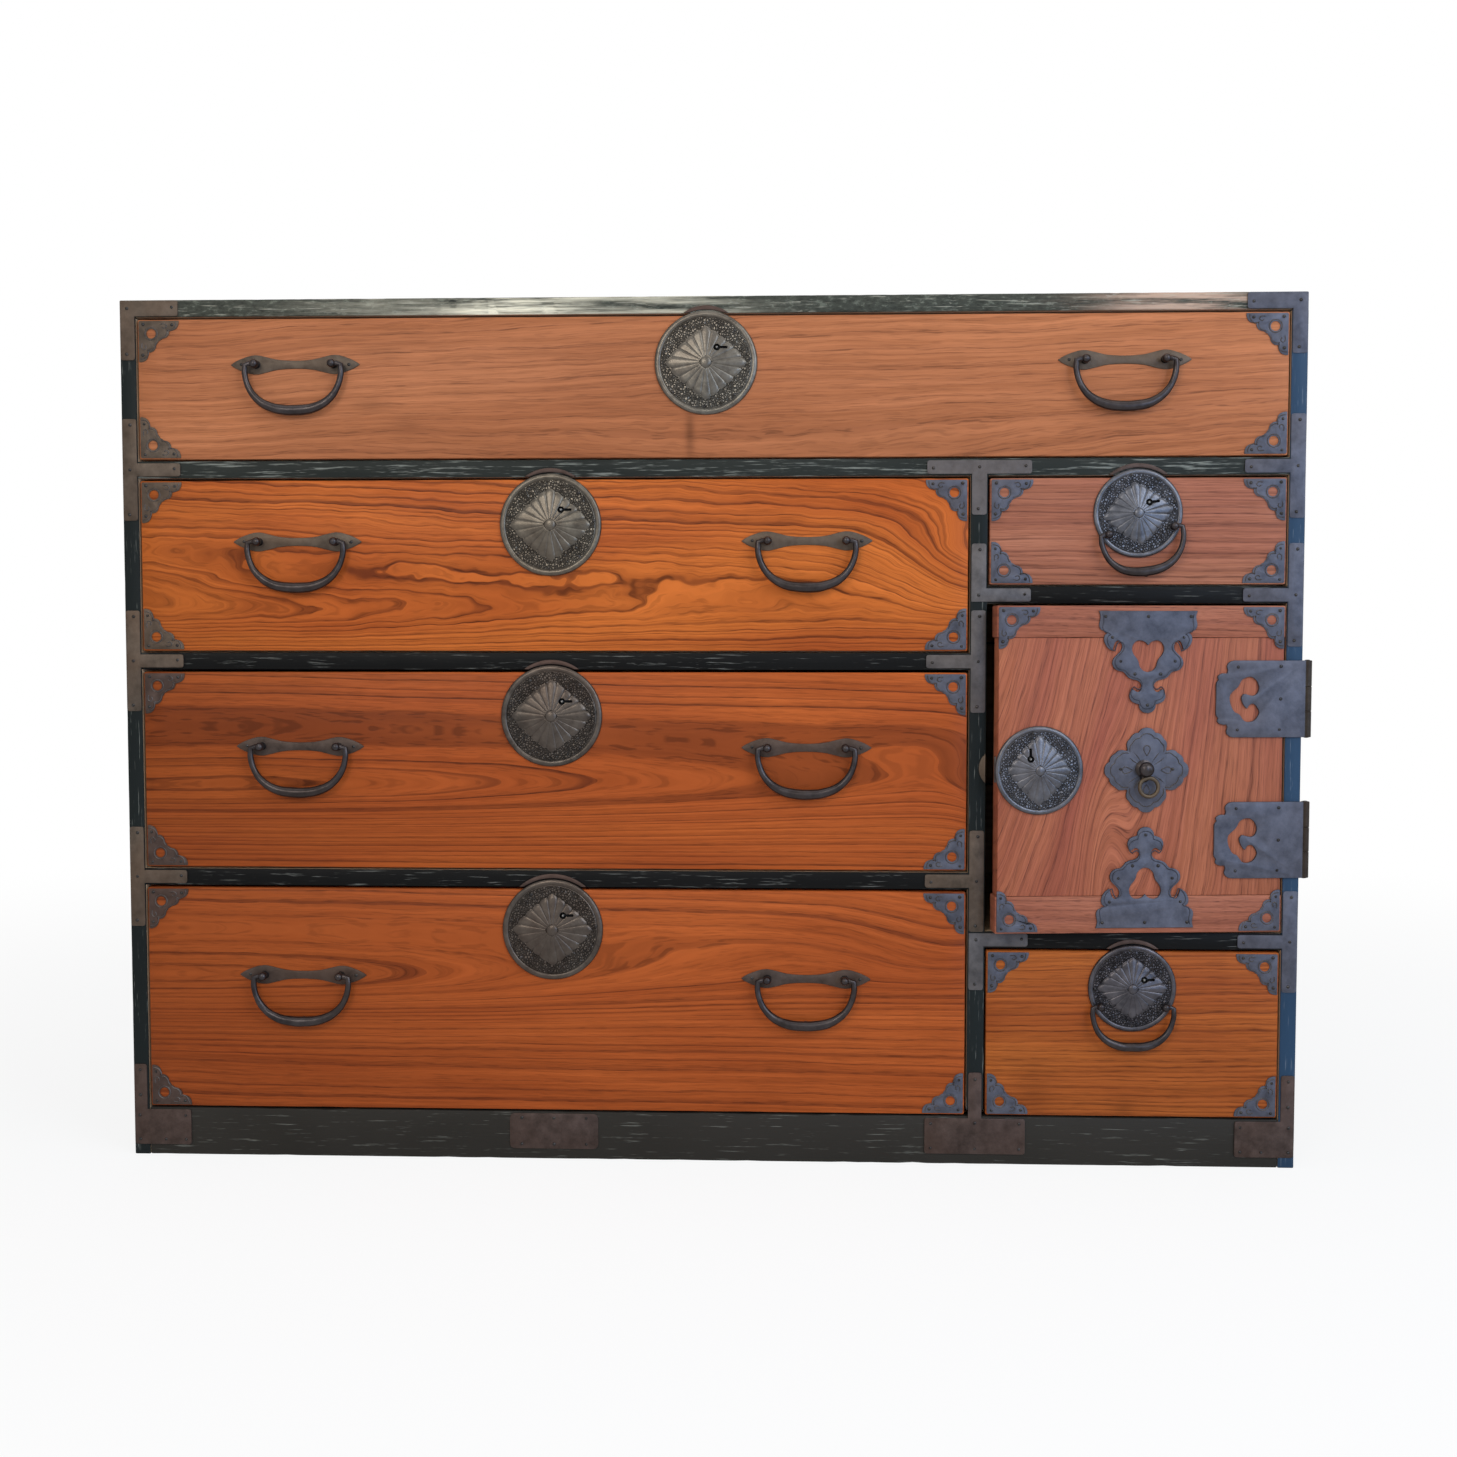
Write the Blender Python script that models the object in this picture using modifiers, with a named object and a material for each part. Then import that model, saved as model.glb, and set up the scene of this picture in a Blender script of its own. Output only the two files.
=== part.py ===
"""Clothing tansu: a low Japanese chest for clothes.

A lacquered case holds one wide drawer over two columns, three drawers on the left and, on the right, a
drawer, a hinged door and a drawer. Every drawer and the door has a round lock plate with a sliding bolt,
and the drawers are pulled by iron bails. The fronts face -Y, and the chest stands on z = 0.
"""

from math import acos, asin, cos, pi, radians, sin

import bmesh
import bpy
from mathutils import Matrix, Vector

# Case, overall and boards
CASE_WIDTH = 1.180
CASE_HEIGHT = 0.870
CASE_DEPTH = 0.440
SIDE_THICK = 0.016
BOARD_THICK = 0.017
BACK_THICK = 0.010
BASE_HEIGHT = 0.049
BASE_RAIL_THICK = 0.018
FLOOR_TONGUE = 0.006
RIGHT_COLUMN_WIDTH = 0.2945
HOUSING_DEPTH = 0.005

# Heights of the openings, as shares of the height that the rails leave; the bottom drawers take the rest
RAILS_PER_COLUMN = 3
TOP_OPENING_SHARE = 0.1912
UPPER_LEFT_OPENING_SHARE = 0.2331
MIDDLE_LEFT_OPENING_SHARE = 0.2696
UPPER_RIGHT_OPENING_SHARE = 0.1454
DOOR_OPENING_SHARE = 0.4356

# Clearances
SEAT_GAP = 0.0003
RAIL_SETBACK = 0.0007
PLATE_SINK = 0.0004
CUT_OVERRUN = 0.002
WELD_DISTANCE = 0.00001
FRONT_REACH = 0.0321

# Drawer fronts and boxes
FRONT_THICK = 0.018
FRONT_SIDE_GAP = 0.002
FRONT_TOP_GAP = 0.0025
FRONT_BOTTOM_GAP = 0.0018
BOX_WALL = 0.010
BOX_FLOOR = 0.006
BOX_HEADROOM = 0.010
BOX_BACK_GAP = 0.009

# Sheet iron straps on the case
PLATE_THICK = 0.0014
STRAP_STEM_WIDTH = 0.0147
STRAP_ARM_WIDTH = 0.0133
STRAP_REACH = 0.0515
STRAP_HALF_LENGTH = 0.051
STRAP_FLARE = 0.0004
DIVIDER_TEE_DROP = 0.047
CORNER_STRAP_EDGE = 0.0005
CORNER_STRAP_LENGTH = 0.0515
FOOT_PLATE_MARGIN = 0.0018
FOOT_PLATE_HEIGHT = 0.0365
FOOT_PLATE_WIDTH = 0.101
FOOT_STEM_HEIGHT = 0.045
FOOT_STEM_WIDTH = 0.0135
BASE_PLATE_WIDTH = 0.0905

# Scalloped corner plates on the drawer fronts and the door
CORNER_LEG = 0.0395
CORNER_INSET = 0.0015
CORNER_HOLE_RADIUS = 0.0050
CORNER_HOLE_PLACE_SHARE = 0.31
CORNER_HOLE_SIDES = 8

# Large handles: plate, posts, stud and bail
HANDLE_INSET = 0.160
HANDLE_RISE = 0.024
HANDLE_PLATE_LENGTH = 0.130
HANDLE_PLATE_HEIGHT = 0.019
POST_SPACING = 0.078
POST_RADIUS = 0.0052
POST_SIDES = 10
BAIL_STANDOFF = 0.010
BAIL_HOLE_RADIUS = 0.0031
BAIL_HALF_WIDTH = 0.049
BAIL_DROP = 0.0463
BAIL_WIRE_RADIUS = 0.0030
BAIL_STUB = 0.0015
STUD_RADIUS = 0.0035
STUD_REACH = 0.0042

# Small bails on the lock plates of the right-hand drawers
SMALL_POST_SPACING = 0.064
SMALL_POST_DROP = 0.0173
SMALL_BAIL_HALF_WIDTH = 0.0405
SMALL_BAIL_DROP = 0.0405
SMALL_BAIL_WIRE_RADIUS = 0.0027
BAIL_POWER = 2.4
BAIL_ELBOW_SHARE = 0.985
BAIL_STEPS = 5
BAIL_FIRST_ANGLE = radians(8)
BAIL_ROOT_SHARE = 0.8
BAIL_SIDE_SHARE = 0.85
BAIL_SWELL_SHARE = 1.5
BAIL_SWELL_POWER = 3
BAIL_BEVEL_STEPS = 2

# Lock plates, keepers and bolts
LOCK_RADIUS = 0.051
SMALL_LOCK_RADIUS = 0.0437
LOCK_DOME = 0.0085
LOCK_SIDES = 24
TOP_LOCK_DROP = 0.0465
UPPER_LEFT_LOCK_DROP = 0.045
MIDDLE_LEFT_LOCK_DROP = 0.044
BOTTOM_LEFT_LOCK_DROP = 0.0405
UPPER_RIGHT_LOCK_DROP = 0.035
BOTTOM_RIGHT_LOCK_DROP = 0.0367
UPPER_RIGHT_LOCK_TURN = radians(7.3)
KEYHOLE_RADIUS = 0.0024
KEYHOLE_SLOT = 0.0100
KEYHOLE_SLOT_HEIGHT = 0.0026
KEYHOLE_STEPS = 8
KEYHOLE_ACROSS_SHARE = 0.21
KEYHOLE_UP_SHARE = 0.32
SMALL_KEYHOLE_ACROSS_SHARE = 0.25
SMALL_KEYHOLE_UP_SHARE = 0.19
KEEPER_THICK = 0.0016
KEEPER_END_WIDTH = 0.005
KEEPER_MARGIN = 0.0052
KEEPER_OUTER_STEPS = 8
KEEPER_INNER_STEPS = 6
DISC_CLEARANCE = 0.0012
BOLT_WIDTH = 0.026
BOLT_THICK = 0.003
BOLT_HEAD_HEIGHT = 0.018
BOLT_LENGTH = 0.030
BOLT_LEG_WIDTH = 0.010
BOLT_THROW = 0.008
BOLT_CLEARANCE = 0.0004
BOLT_HEAD_GAP = 0.0005
MORTISE_CLEARANCE = 0.0015

# Door
DOOR_THICK = 0.026
DOOR_LEFT_GAP = 0.006
DOOR_RIGHT_GAP = 0.002
DOOR_TOP_GAP = 0.002
DOOR_BOTTOM_GAP = 0.002
DOOR_AJAR = radians(5)
TOP_END_HEIGHT = 0.0315
BOTTOM_END_HEIGHT = 0.037
TONGUE_THICK = 0.009
TONGUE_LENGTH = 0.012
DOOR_LOCK_DROP = 0.0424
DOOR_BOLT_THROW = 0.010
DOOR_KEEPER_HALF_WIDTH = 0.015
DOOR_KEEPER_RISE = 0.0068
DOOR_AXIS_OFFSET = 0.006
ORNAMENT_HALF_WIDTH = 0.049
ORNAMENT_LENGTH_SHARE = 0.3102
ORNAMENT_MARGIN = 0.0052
ROSETTE_RADIUS = 0.042
KNOB_RADIUS = 0.0076
KNOB_STANDOFF = 0.0090
KNOB_SEGMENTS = 16
KNOB_RINGS = 10
LUG_RADIUS = 0.0040
LUG_LENGTH = 0.0048
LUG_DROP = 0.0090
RING_HOLE_RADIUS = 0.0022
RING_RADIUS = 0.0089
RING_WIRE_RADIUS = 0.0015
RING_STEPS = 20
RING_SIDES = 8

# Hinges
HINGE_OFFSET_SHARE = 0.216
HINGE_LENGTH = 0.092
HINGE_HEIGHT_SHARE = 0.2346
HINGE_PLATE_THICK = 0.0015
BARREL_RADIUS = 0.0045
BARREL_SIDE_GAP = 0.0007
BARREL_SETBACK = 0.0022
PIN_RADIUS = 0.0021
PIN_BORE_RADIUS = 0.0026
BARREL_SIDES = 12
KNUCKLE_SHARE = 0.34
CASE_LEAF_LENGTH = 0.044
CASE_LEAF_THICK = 0.0012
PIN_HEAD_HEIGHT = 0.0012

# Outlines, as shares of the sizes that they follow
CORNER_EDGE_SHARES = (
    (1.00, 0.00), (0.99, 0.12), (0.91, 0.21), (0.81, 0.24), (0.725, 0.24),
    (0.735, 0.34), (0.68, 0.43), (0.58, 0.47),
)
HANDLE_EDGE_SHARES = (
    (0.00, 0.44), (0.30, 0.55), (0.46, 0.84), (0.60, 1.00), (0.72, 0.90),
    (0.82, 0.66), (0.90, 0.50), (1.00, 0.08),
)
ORNAMENT_EDGE_SHARES = (
    (1.00, 0.00), (0.97, 0.06), (1.00, 0.14), (0.94, 0.185), (0.815, 0.22),
    (0.89, 0.25), (0.87, 0.31), (0.805, 0.355), (0.725, 0.39), (0.685, 0.325),
    (0.635, 0.295), (0.57, 0.30), (0.52, 0.33), (0.53, 0.37), (0.635, 0.435),
    (0.725, 0.49), (0.70, 0.55), (0.60, 0.59), (0.47, 0.60), (0.41, 0.65),
    (0.305, 0.67), (0.215, 0.68), (0.145, 0.705), (0.12, 0.755), (0.165, 0.785),
    (0.225, 0.79), (0.295, 0.775), (0.35, 0.795), (0.365, 0.84), (0.31, 0.89),
    (0.23, 0.915), (0.165, 0.925), (0.145, 0.955), (0.08, 0.99), (0.00, 1.00),
)
ORNAMENT_HOLE_SHARES = (
    (0.00, 0.33), (0.08, 0.31), (0.185, 0.295), (0.28, 0.315), (0.325, 0.355),
    (0.31, 0.40), (0.23, 0.465), (0.19, 0.50), (0.165, 0.545), (0.08, 0.58),
    (0.00, 0.595),
)
PETAL_EDGE_SHARES = (
    (0.00, 1.00), (0.13, 0.975), (0.21, 0.90), (0.25, 0.85), (0.33, 0.83),
    (0.42, 0.75), (0.465, 0.64), (0.46, 0.56), (0.49, 0.49),
)
HINGE_EDGE_SHARES = (
    (0.03, 1.00), (0.80, 1.00), (0.86, 0.94), (0.885, 0.82), (0.885, 0.66),
    (0.94, 0.62), (0.985, 0.54), (1.00, 0.42),
)
HINGE_HOLE_SHARES = (
    (0.66, 0.57), (0.72, 0.50), (0.765, 0.31), (0.845, 0.12), (0.845, -0.11),
    (0.80, -0.33), (0.745, -0.40), (0.695, -0.56), (0.64, -0.595), (0.575, -0.54),
    (0.53, -0.36), (0.56, -0.19), (0.60, -0.125), (0.64, -0.16), (0.665, -0.25),
    (0.71, -0.11), (0.725, 0.04), (0.695, 0.13), (0.64, 0.10), (0.59, 0.09),
    (0.55, 0.16), (0.535, 0.31), (0.56, 0.465), (0.61, 0.565),
)
LOCK_PROFILE_SHARES = (
    (0.00, 1.00), (0.09, 0.97), (0.15, 0.80), (0.18, 0.68), (0.45, 0.66),
    (0.68, 0.52), (0.72, 0.36), (0.88, 0.33), (0.90, 0.24), (1.00, 0.16),
    (1.00, 0.00), (0.00, 0.00),
)

# Planes and levels worked out from the sizes above
FACE_Y = -(CASE_DEPTH - FRONT_REACH) / 2
REAR_Y = FACE_Y + CASE_DEPTH
BACK_FACE_Y = REAR_Y - BACK_THICK
OUTER_X = CASE_WIDTH / 2
INNER_X = OUTER_X - SIDE_THICK
SIDE_CENTRE_X = OUTER_X - SIDE_THICK / 2
DIVIDER_RIGHT = INNER_X - RIGHT_COLUMN_WIDTH
DIVIDER_CENTRE_X = DIVIDER_RIGHT - BOARD_THICK / 2
DIVIDER_LEFT = DIVIDER_RIGHT - BOARD_THICK
TOP_BOARD_UNDER = CASE_HEIGHT - BOARD_THICK
OPENINGS_HEIGHT = TOP_BOARD_UNDER - BASE_HEIGHT - RAILS_PER_COLUMN * BOARD_THICK
TOP_SHELF_UNDER = TOP_BOARD_UNDER - TOP_OPENING_SHARE * OPENINGS_HEIGHT - BOARD_THICK
LEFT_UPPER_UNDER = TOP_SHELF_UNDER - UPPER_LEFT_OPENING_SHARE * OPENINGS_HEIGHT - BOARD_THICK
LEFT_LOWER_UNDER = LEFT_UPPER_UNDER - MIDDLE_LEFT_OPENING_SHARE * OPENINGS_HEIGHT - BOARD_THICK
RIGHT_UPPER_UNDER = TOP_SHELF_UNDER - UPPER_RIGHT_OPENING_SHARE * OPENINGS_HEIGHT - BOARD_THICK
RIGHT_LOWER_UNDER = RIGHT_UPPER_UNDER - DOOR_OPENING_SHARE * OPENINGS_HEIGHT - BOARD_THICK

for leftover in list(bpy.data.objects):
    bpy.data.objects.remove(leftover, do_unlink=True)

PARTS = bpy.data.collections.new("clothing_tansu")
CUTTERS = bpy.data.collections.new("cutters")
bpy.context.scene.collection.children.link(PARTS)
bpy.context.scene.collection.children.link(CUTTERS)


def surface(name, colour, roughness, metallic):
    """A plain Principled material."""
    material = bpy.data.materials.new(name)
    material.use_nodes = True
    shader = material.node_tree.nodes["Principled BSDF"]
    shader.inputs["Base Color"].default_value = (*colour, 1)
    shader.inputs["Roughness"].default_value = roughness
    shader.inputs["Metallic"].default_value = metallic
    material.diffuse_color = (*colour, 1)
    return material


LACQUER = surface("black_lacquer", (0.030, 0.036, 0.034), 0.45, 0.0)
FRONT_WOOD = surface("front_wood", (0.42, 0.15, 0.05), 0.35, 0.0)
BOX_WOOD = surface("box_wood", (0.55, 0.42, 0.28), 0.70, 0.0)
IRON = surface("wrought_iron", (0.09, 0.085, 0.085), 0.50, 0.8)


# Ways of making and placing

def new_object(name, mesh, materials, origin=(0, 0, 0), turn=(0, 0, 0)):
    """Put a mesh in the parts collection under its own name."""
    for material in materials:
        mesh.materials.append(material)
    piece = bpy.data.objects.new(name, mesh)
    piece.location = origin
    piece.rotation_euler = turn
    PARTS.objects.link(piece)
    return piece


def new_tool(name, mesh, like, origin=(0, 0, 0), turn=(0, 0, 0)):
    """Put a mesh among the cutters, with the slots of the piece that it joins or cuts."""
    for material in like.data.materials:
        mesh.materials.append(material)
    if len(like.data.materials) > 1:
        for polygon in mesh.polygons:
            polygon.material_index = 1
    tool = bpy.data.objects.new(name, mesh)
    tool.location = origin
    tool.rotation_euler = turn
    tool.hide_render = True
    tool.display_type = "WIRE"
    tool.parent = like.parent
    tool.matrix_parent_inverse = like.matrix_parent_inverse
    CUTTERS.objects.link(tool)
    return tool


def boolean(piece, tool, operation):
    """Join a tool to a piece, or cut the piece with it."""
    modifier = piece.modifiers.new(tool.name, "BOOLEAN")
    modifier.operation = operation
    modifier.solver = "EXACT"
    modifier.object = tool


def mesh_of(shape, name):
    """Turn a bmesh into a mesh with its faces pointing out."""
    bmesh.ops.recalc_face_normals(shape, faces=shape.faces)
    mesh = bpy.data.meshes.new(name)
    shape.to_mesh(mesh)
    shape.free()
    return mesh


def add_box(shape, low, high):
    """A box between two corners."""
    low = Vector(low)
    high = Vector(high)
    place = Matrix.Translation((low + high) / 2) @ Matrix.Diagonal((*(high - low), 1))
    bmesh.ops.create_cube(shape, size=1, matrix=place)


def add_rod(shape, start, end, radius, sides):
    """A round rod between two points."""
    start = Vector(start)
    run = Vector(end) - start
    turn = run.to_track_quat("Z", "Y").to_matrix().to_4x4()
    place = Matrix.Translation(start + run / 2) @ turn
    bmesh.ops.create_cone(
        shape, cap_ends=True, segments=sides, radius1=radius, radius2=radius,
        depth=run.length, matrix=place,
    )


def box_mesh(name, *boxes):
    """A mesh of separate boxes, each given by two corners."""
    shape = bmesh.new()
    for low, high in boxes:
        add_box(shape, low, high)
    return mesh_of(shape, name)


def rod_mesh(name, rods, radius, sides):
    """A mesh of separate rods, each given by its two ends."""
    shape = bmesh.new()
    for start, end in rods:
        add_rod(shape, start, end, radius, sides)
    return mesh_of(shape, name)


def board(name, low, high, *materials):
    """A rectangular board with its origin at its centre."""
    low = Vector(low)
    high = Vector(high)
    half = (high - low) / 2
    return new_object(name, box_mesh(name, (-half, half)), materials, low + half)


def sheet_mesh(name, loops, thick):
    """Sheet iron cut to closed loops across X and up Z, its back on y = 0 and its face at -thick."""
    curve = bpy.data.curves.new(name, "CURVE")
    curve.dimensions = "2D"
    curve.fill_mode = "BOTH"
    curve.extrude = thick / 2
    for loop in loops:
        spline = curve.splines.new("POLY")
        spline.points.add(len(loop) - 1)
        for point, (across, up) in zip(spline.points, loop):
            point.co = (across, up, 0, 1)
        spline.use_cyclic_u = True
    holder = bpy.data.objects.new(name, curve)
    CUTTERS.objects.link(holder)
    depsgraph = bpy.context.evaluated_depsgraph_get()
    flat = bpy.data.meshes.new_from_object(holder.evaluated_get(depsgraph))
    bpy.data.objects.remove(holder)
    bpy.data.curves.remove(curve)
    shape = bmesh.new()
    shape.from_mesh(flat)
    bpy.data.meshes.remove(flat)
    bmesh.ops.remove_doubles(shape, verts=shape.verts, dist=WELD_DISTANCE)
    stand_up = Matrix.Translation((0, -thick / 2, 0)) @ Matrix.Rotation(pi / 2, 4, "X")
    bmesh.ops.transform(shape, matrix=stand_up, verts=shape.verts)
    return mesh_of(shape, name)


def moved(loop, across, up, flip_across=1, flip_up=1):
    """A loop set at a place, mirrored first where a flip is -1."""
    return [(across + flip_across * x, up + flip_up * z) for x, z in loop]


def arc(centre, radius, start, end, steps):
    """Points along a circular arc, both ends included."""
    turn = (end - start) / steps
    return [
        (centre[0] + radius * cos(start + turn * i), centre[1] + radius * sin(start + turn * i))
        for i in range(steps + 1)
    ]


# Case

def housing(left, right, under):
    """The groove that a shelf's end is let into, cut right through from front to back."""
    low = (left, FACE_Y - CUT_OVERRUN, under - SEAT_GAP)
    high = (right, BACK_FACE_Y + CUT_OVERRUN, under + BOARD_THICK + SEAT_GAP)
    return low, high


def strap_loop(left, right, up, down, arm_width=STRAP_ARM_WIDTH):
    """A tee or ell of strap iron about the point where its centre lines meet.

    A stem runs up and down and an arm left and right, each as far as given, where 0 is no run at all.
    The arm widens a little where it meets the stem.
    """
    stem = STRAP_STEM_WIDTH / 2
    arm = arm_width / 2
    root = arm + STRAP_FLARE
    loop = []
    quarters = ((right, down, 1, -1), (right, up, 1, 1), (left, up, -1, 1), (left, down, -1, -1))
    for run, rise, side, way in quarters:
        arm_tip = (side * run, way * arm)
        stem_tip = (side * stem, way * rise)
        if run and rise:
            quarter = [stem_tip, (side * stem, way * root), arm_tip]
        elif run:
            quarter = [arm_tip]
        elif rise:
            quarter = [stem_tip]
        else:
            quarter = [(side * stem, way * arm)]
        loop += quarter if side != way else quarter[::-1]
    return loop


def foot_loop(width, stem_place):
    """A plate on the base rail, about its middle, with a stem that rises from it."""
    half = width / 2
    high = BASE_HEIGHT - FOOT_PLATE_MARGIN
    low = high - FOOT_PLATE_HEIGHT
    tip = BASE_HEIGHT + FOOT_STEM_HEIGHT
    stem_left = stem_place - FOOT_STEM_WIDTH / 2
    stem_right = stem_place + FOOT_STEM_WIDTH / 2
    loop = [(-half, low), (half, low), (half, high), (stem_right, high + STRAP_FLARE), (stem_right, tip)]
    if stem_left - WELD_DISTANCE < -half:
        return loop + [(-half, tip)]
    return loop + [(stem_left, tip), (stem_left, high + STRAP_FLARE), (-half, high)]


def make_side_board(name, side, shelf_levels):
    """A side board with the shelves' housings and its straps, a corner at the top and a foot."""
    inner = side * INNER_X
    outer = side * OUTER_X
    piece = board(
        name,
        (min(inner, outer), FACE_Y, 0),
        (max(inner, outer), BACK_FACE_Y - SEAT_GAP, TOP_BOARD_UNDER - SEAT_GAP),
        LACQUER, IRON,
    )
    grooves = []
    for under in shelf_levels + [BASE_HEIGHT - BOARD_THICK]:
        ends = sorted((inner - side * CUT_OVERRUN, inner + side * HOUSING_DEPTH))
        grooves.append(housing(ends[0], ends[1], under))
    boolean(piece, new_tool(name + "_housings", box_mesh(name + "_housings", *grooves), piece), "DIFFERENCE")

    edge = side * SIDE_CENTRE_X
    corner = strap_loop(
        0, STRAP_REACH, 0, CORNER_STRAP_LENGTH, arm_width=BOARD_THICK - 2 * CORNER_STRAP_EDGE,
    )
    loops = [moved(corner, edge, CASE_HEIGHT - BOARD_THICK / 2, -side)]
    tee = strap_loop(0, STRAP_REACH, STRAP_HALF_LENGTH, STRAP_HALF_LENGTH)
    for under in shelf_levels:
        loops.append(moved(tee, edge, under + BOARD_THICK / 2, -side))
    foot_width = STRAP_REACH + STRAP_STEM_WIDTH / 2
    stem_place = (FOOT_STEM_WIDTH - foot_width) / 2
    foot_centre = edge - side * (foot_width - STRAP_STEM_WIDTH) / 2
    loops.append(moved(foot_loop(foot_width, stem_place), foot_centre, 0, -side))
    add_sheet_iron(piece, name + "_straps", loops)
    return piece


def add_sheet_iron(piece, name, loops, thick=PLATE_THICK, front=FACE_Y):
    """Fuse sheet iron to a board, sunk a little into the plane of its front."""
    tool = new_tool(name, sheet_mesh(name, loops, thick), piece, (0, front + PLATE_SINK, 0))
    boolean(piece, tool, "UNION")


def make_divider():
    """The upright between the columns, with its straps, its foot and the keeper of the door's bolt."""
    piece = board(
        "divider_board",
        (DIVIDER_LEFT, FACE_Y, BASE_HEIGHT + SEAT_GAP),
        (DIVIDER_RIGHT, BACK_FACE_Y - SEAT_GAP, TOP_SHELF_UNDER - SEAT_GAP),
        LACQUER, IRON,
    )
    grooves = []
    for under in (LEFT_UPPER_UNDER, LEFT_LOWER_UNDER):
        grooves.append(housing(DIVIDER_LEFT - CUT_OVERRUN, DIVIDER_LEFT + HOUSING_DEPTH, under))
    for under in (RIGHT_UPPER_UNDER, RIGHT_LOWER_UNDER):
        grooves.append(housing(DIVIDER_RIGHT - HOUSING_DEPTH, DIVIDER_RIGHT + CUT_OVERRUN, under))
    tool = new_tool("divider_housings", box_mesh("divider_housings", *grooves), piece)
    boolean(piece, tool, "DIFFERENCE")

    arm = STRAP_REACH
    half = STRAP_HALF_LENGTH
    place = DIVIDER_CENTRE_X
    middle = BOARD_THICK / 2
    top_tee = strap_loop(arm, arm, 0, DIVIDER_TEE_DROP)
    side_tee = strap_loop(0, arm, half, half)
    ell = strap_loop(0, arm, half, 0)
    add_sheet_iron(piece, "divider_straps", [
        moved(top_tee, place, TOP_SHELF_UNDER + middle),
        moved(side_tee, place, LEFT_UPPER_UNDER + middle, -1),
        moved(side_tee, place, LEFT_LOWER_UNDER + middle, -1),
        moved(ell, place, RIGHT_UPPER_UNDER + middle),
        moved(ell, place, RIGHT_LOWER_UNDER + middle, 1, -1),
        moved(foot_loop(FOOT_PLATE_WIDTH, 0), place, 0),
    ])
    return piece


def make_shelf(name, left, right, under):
    """A shelf let into the boards beside it, its front edge forming the rail over an opening."""
    return board(
        name,
        (left - HOUSING_DEPTH + SEAT_GAP, FACE_Y + RAIL_SETBACK, under),
        (right + HOUSING_DEPTH - SEAT_GAP, BACK_FACE_Y - SEAT_GAP, under + BOARD_THICK),
        LACQUER, IRON,
    )


def make_case():
    """All boards of the case; gives back those that a bolt enters, by name.

    The floor of the case is tongued and glued into the base rail, and the two are one piece.
    """
    make_side_board("side_board_left", -1, [TOP_SHELF_UNDER, LEFT_UPPER_UNDER, LEFT_LOWER_UNDER])
    make_side_board("side_board_right", 1, [TOP_SHELF_UNDER, RIGHT_UPPER_UNDER, RIGHT_LOWER_UNDER])
    rail_y = FACE_Y + RAIL_SETBACK
    rails = {}
    rails["top_board"] = board(
        "top_board",
        (-OUTER_X, rail_y, TOP_BOARD_UNDER), (OUTER_X, BACK_FACE_Y - SEAT_GAP, CASE_HEIGHT),
        LACQUER, IRON,
    )
    board("back_board", (-OUTER_X, BACK_FACE_Y, 0), (OUTER_X, REAR_Y, CASE_HEIGHT), LACQUER)
    shelf_end = INNER_X + HOUSING_DEPTH - SEAT_GAP
    base = board(
        "base_board",
        (-INNER_X + SEAT_GAP, rail_y, 0), (INNER_X - SEAT_GAP, FACE_Y + BASE_RAIL_THICK, BASE_HEIGHT),
        LACQUER, IRON, BOX_WOOD,
    )
    floor = new_tool("floor_of_case", box_mesh("floor_of_case", (
        (-shelf_end, FACE_Y + BASE_RAIL_THICK - FLOOR_TONGUE, BASE_HEIGHT - BOARD_THICK),
        (shelf_end, BACK_FACE_Y - SEAT_GAP, BASE_HEIGHT),
    )), base)
    for polygon in floor.data.polygons:
        polygon.material_index = 2
    boolean(base, floor, "UNION")
    half = BASE_PLATE_WIDTH / 2
    low = BASE_HEIGHT - FOOT_PLATE_HEIGHT - FOOT_PLATE_MARGIN
    high = BASE_HEIGHT - FOOT_PLATE_MARGIN
    middle = (DIVIDER_LEFT - INNER_X) / 2
    base_loop = [(-half, low), (half, low), (half, high), (-half, high)]
    add_sheet_iron(base, "base_plate", [moved(base_loop, middle, 0)], front=rail_y)
    rails["top_shelf"] = make_shelf("top_shelf", -INNER_X, INNER_X, TOP_SHELF_UNDER)
    rails["left_upper_shelf"] = make_shelf("left_upper_shelf", -INNER_X, DIVIDER_LEFT, LEFT_UPPER_UNDER)
    rails["left_lower_shelf"] = make_shelf("left_lower_shelf", -INNER_X, DIVIDER_LEFT, LEFT_LOWER_UNDER)
    make_shelf("right_upper_shelf", DIVIDER_RIGHT, INNER_X, RIGHT_UPPER_UNDER)
    rails["right_lower_shelf"] = make_shelf("right_lower_shelf", DIVIDER_RIGHT, INNER_X, RIGHT_LOWER_UNDER)
    rails["divider_board"] = make_divider()
    return rails


# Ironwork on the fronts

def corner_loops():
    """A scalloped corner plate with its round hole, its square corner at 0 and its legs along +X and -Z."""
    edge = [(x * CORNER_LEG, -z * CORNER_LEG) for x, z in CORNER_EDGE_SHARES]
    mirrored = [(-z, -x) for x, z in reversed(edge)]
    hole_place = CORNER_HOLE_PLACE_SHARE * CORNER_LEG
    hole = arc((hole_place, -hole_place), CORNER_HOLE_RADIUS, 0, 2 * pi, CORNER_HOLE_SIDES)[:-1]
    return [[(0, 0)] + edge + mirrored, hole]


def four_corners(left, right, low, high):
    """The corner plates of a front, a little inside its edges."""
    loops = []
    for across, flip_across in ((left + CORNER_INSET, 1), (right - CORNER_INSET, -1)):
        for up, flip_up in ((high - CORNER_INSET, 1), (low + CORNER_INSET, -1)):
            for loop in corner_loops():
                loops.append(moved(loop, across, up, flip_across, flip_up))
    return loops


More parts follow.
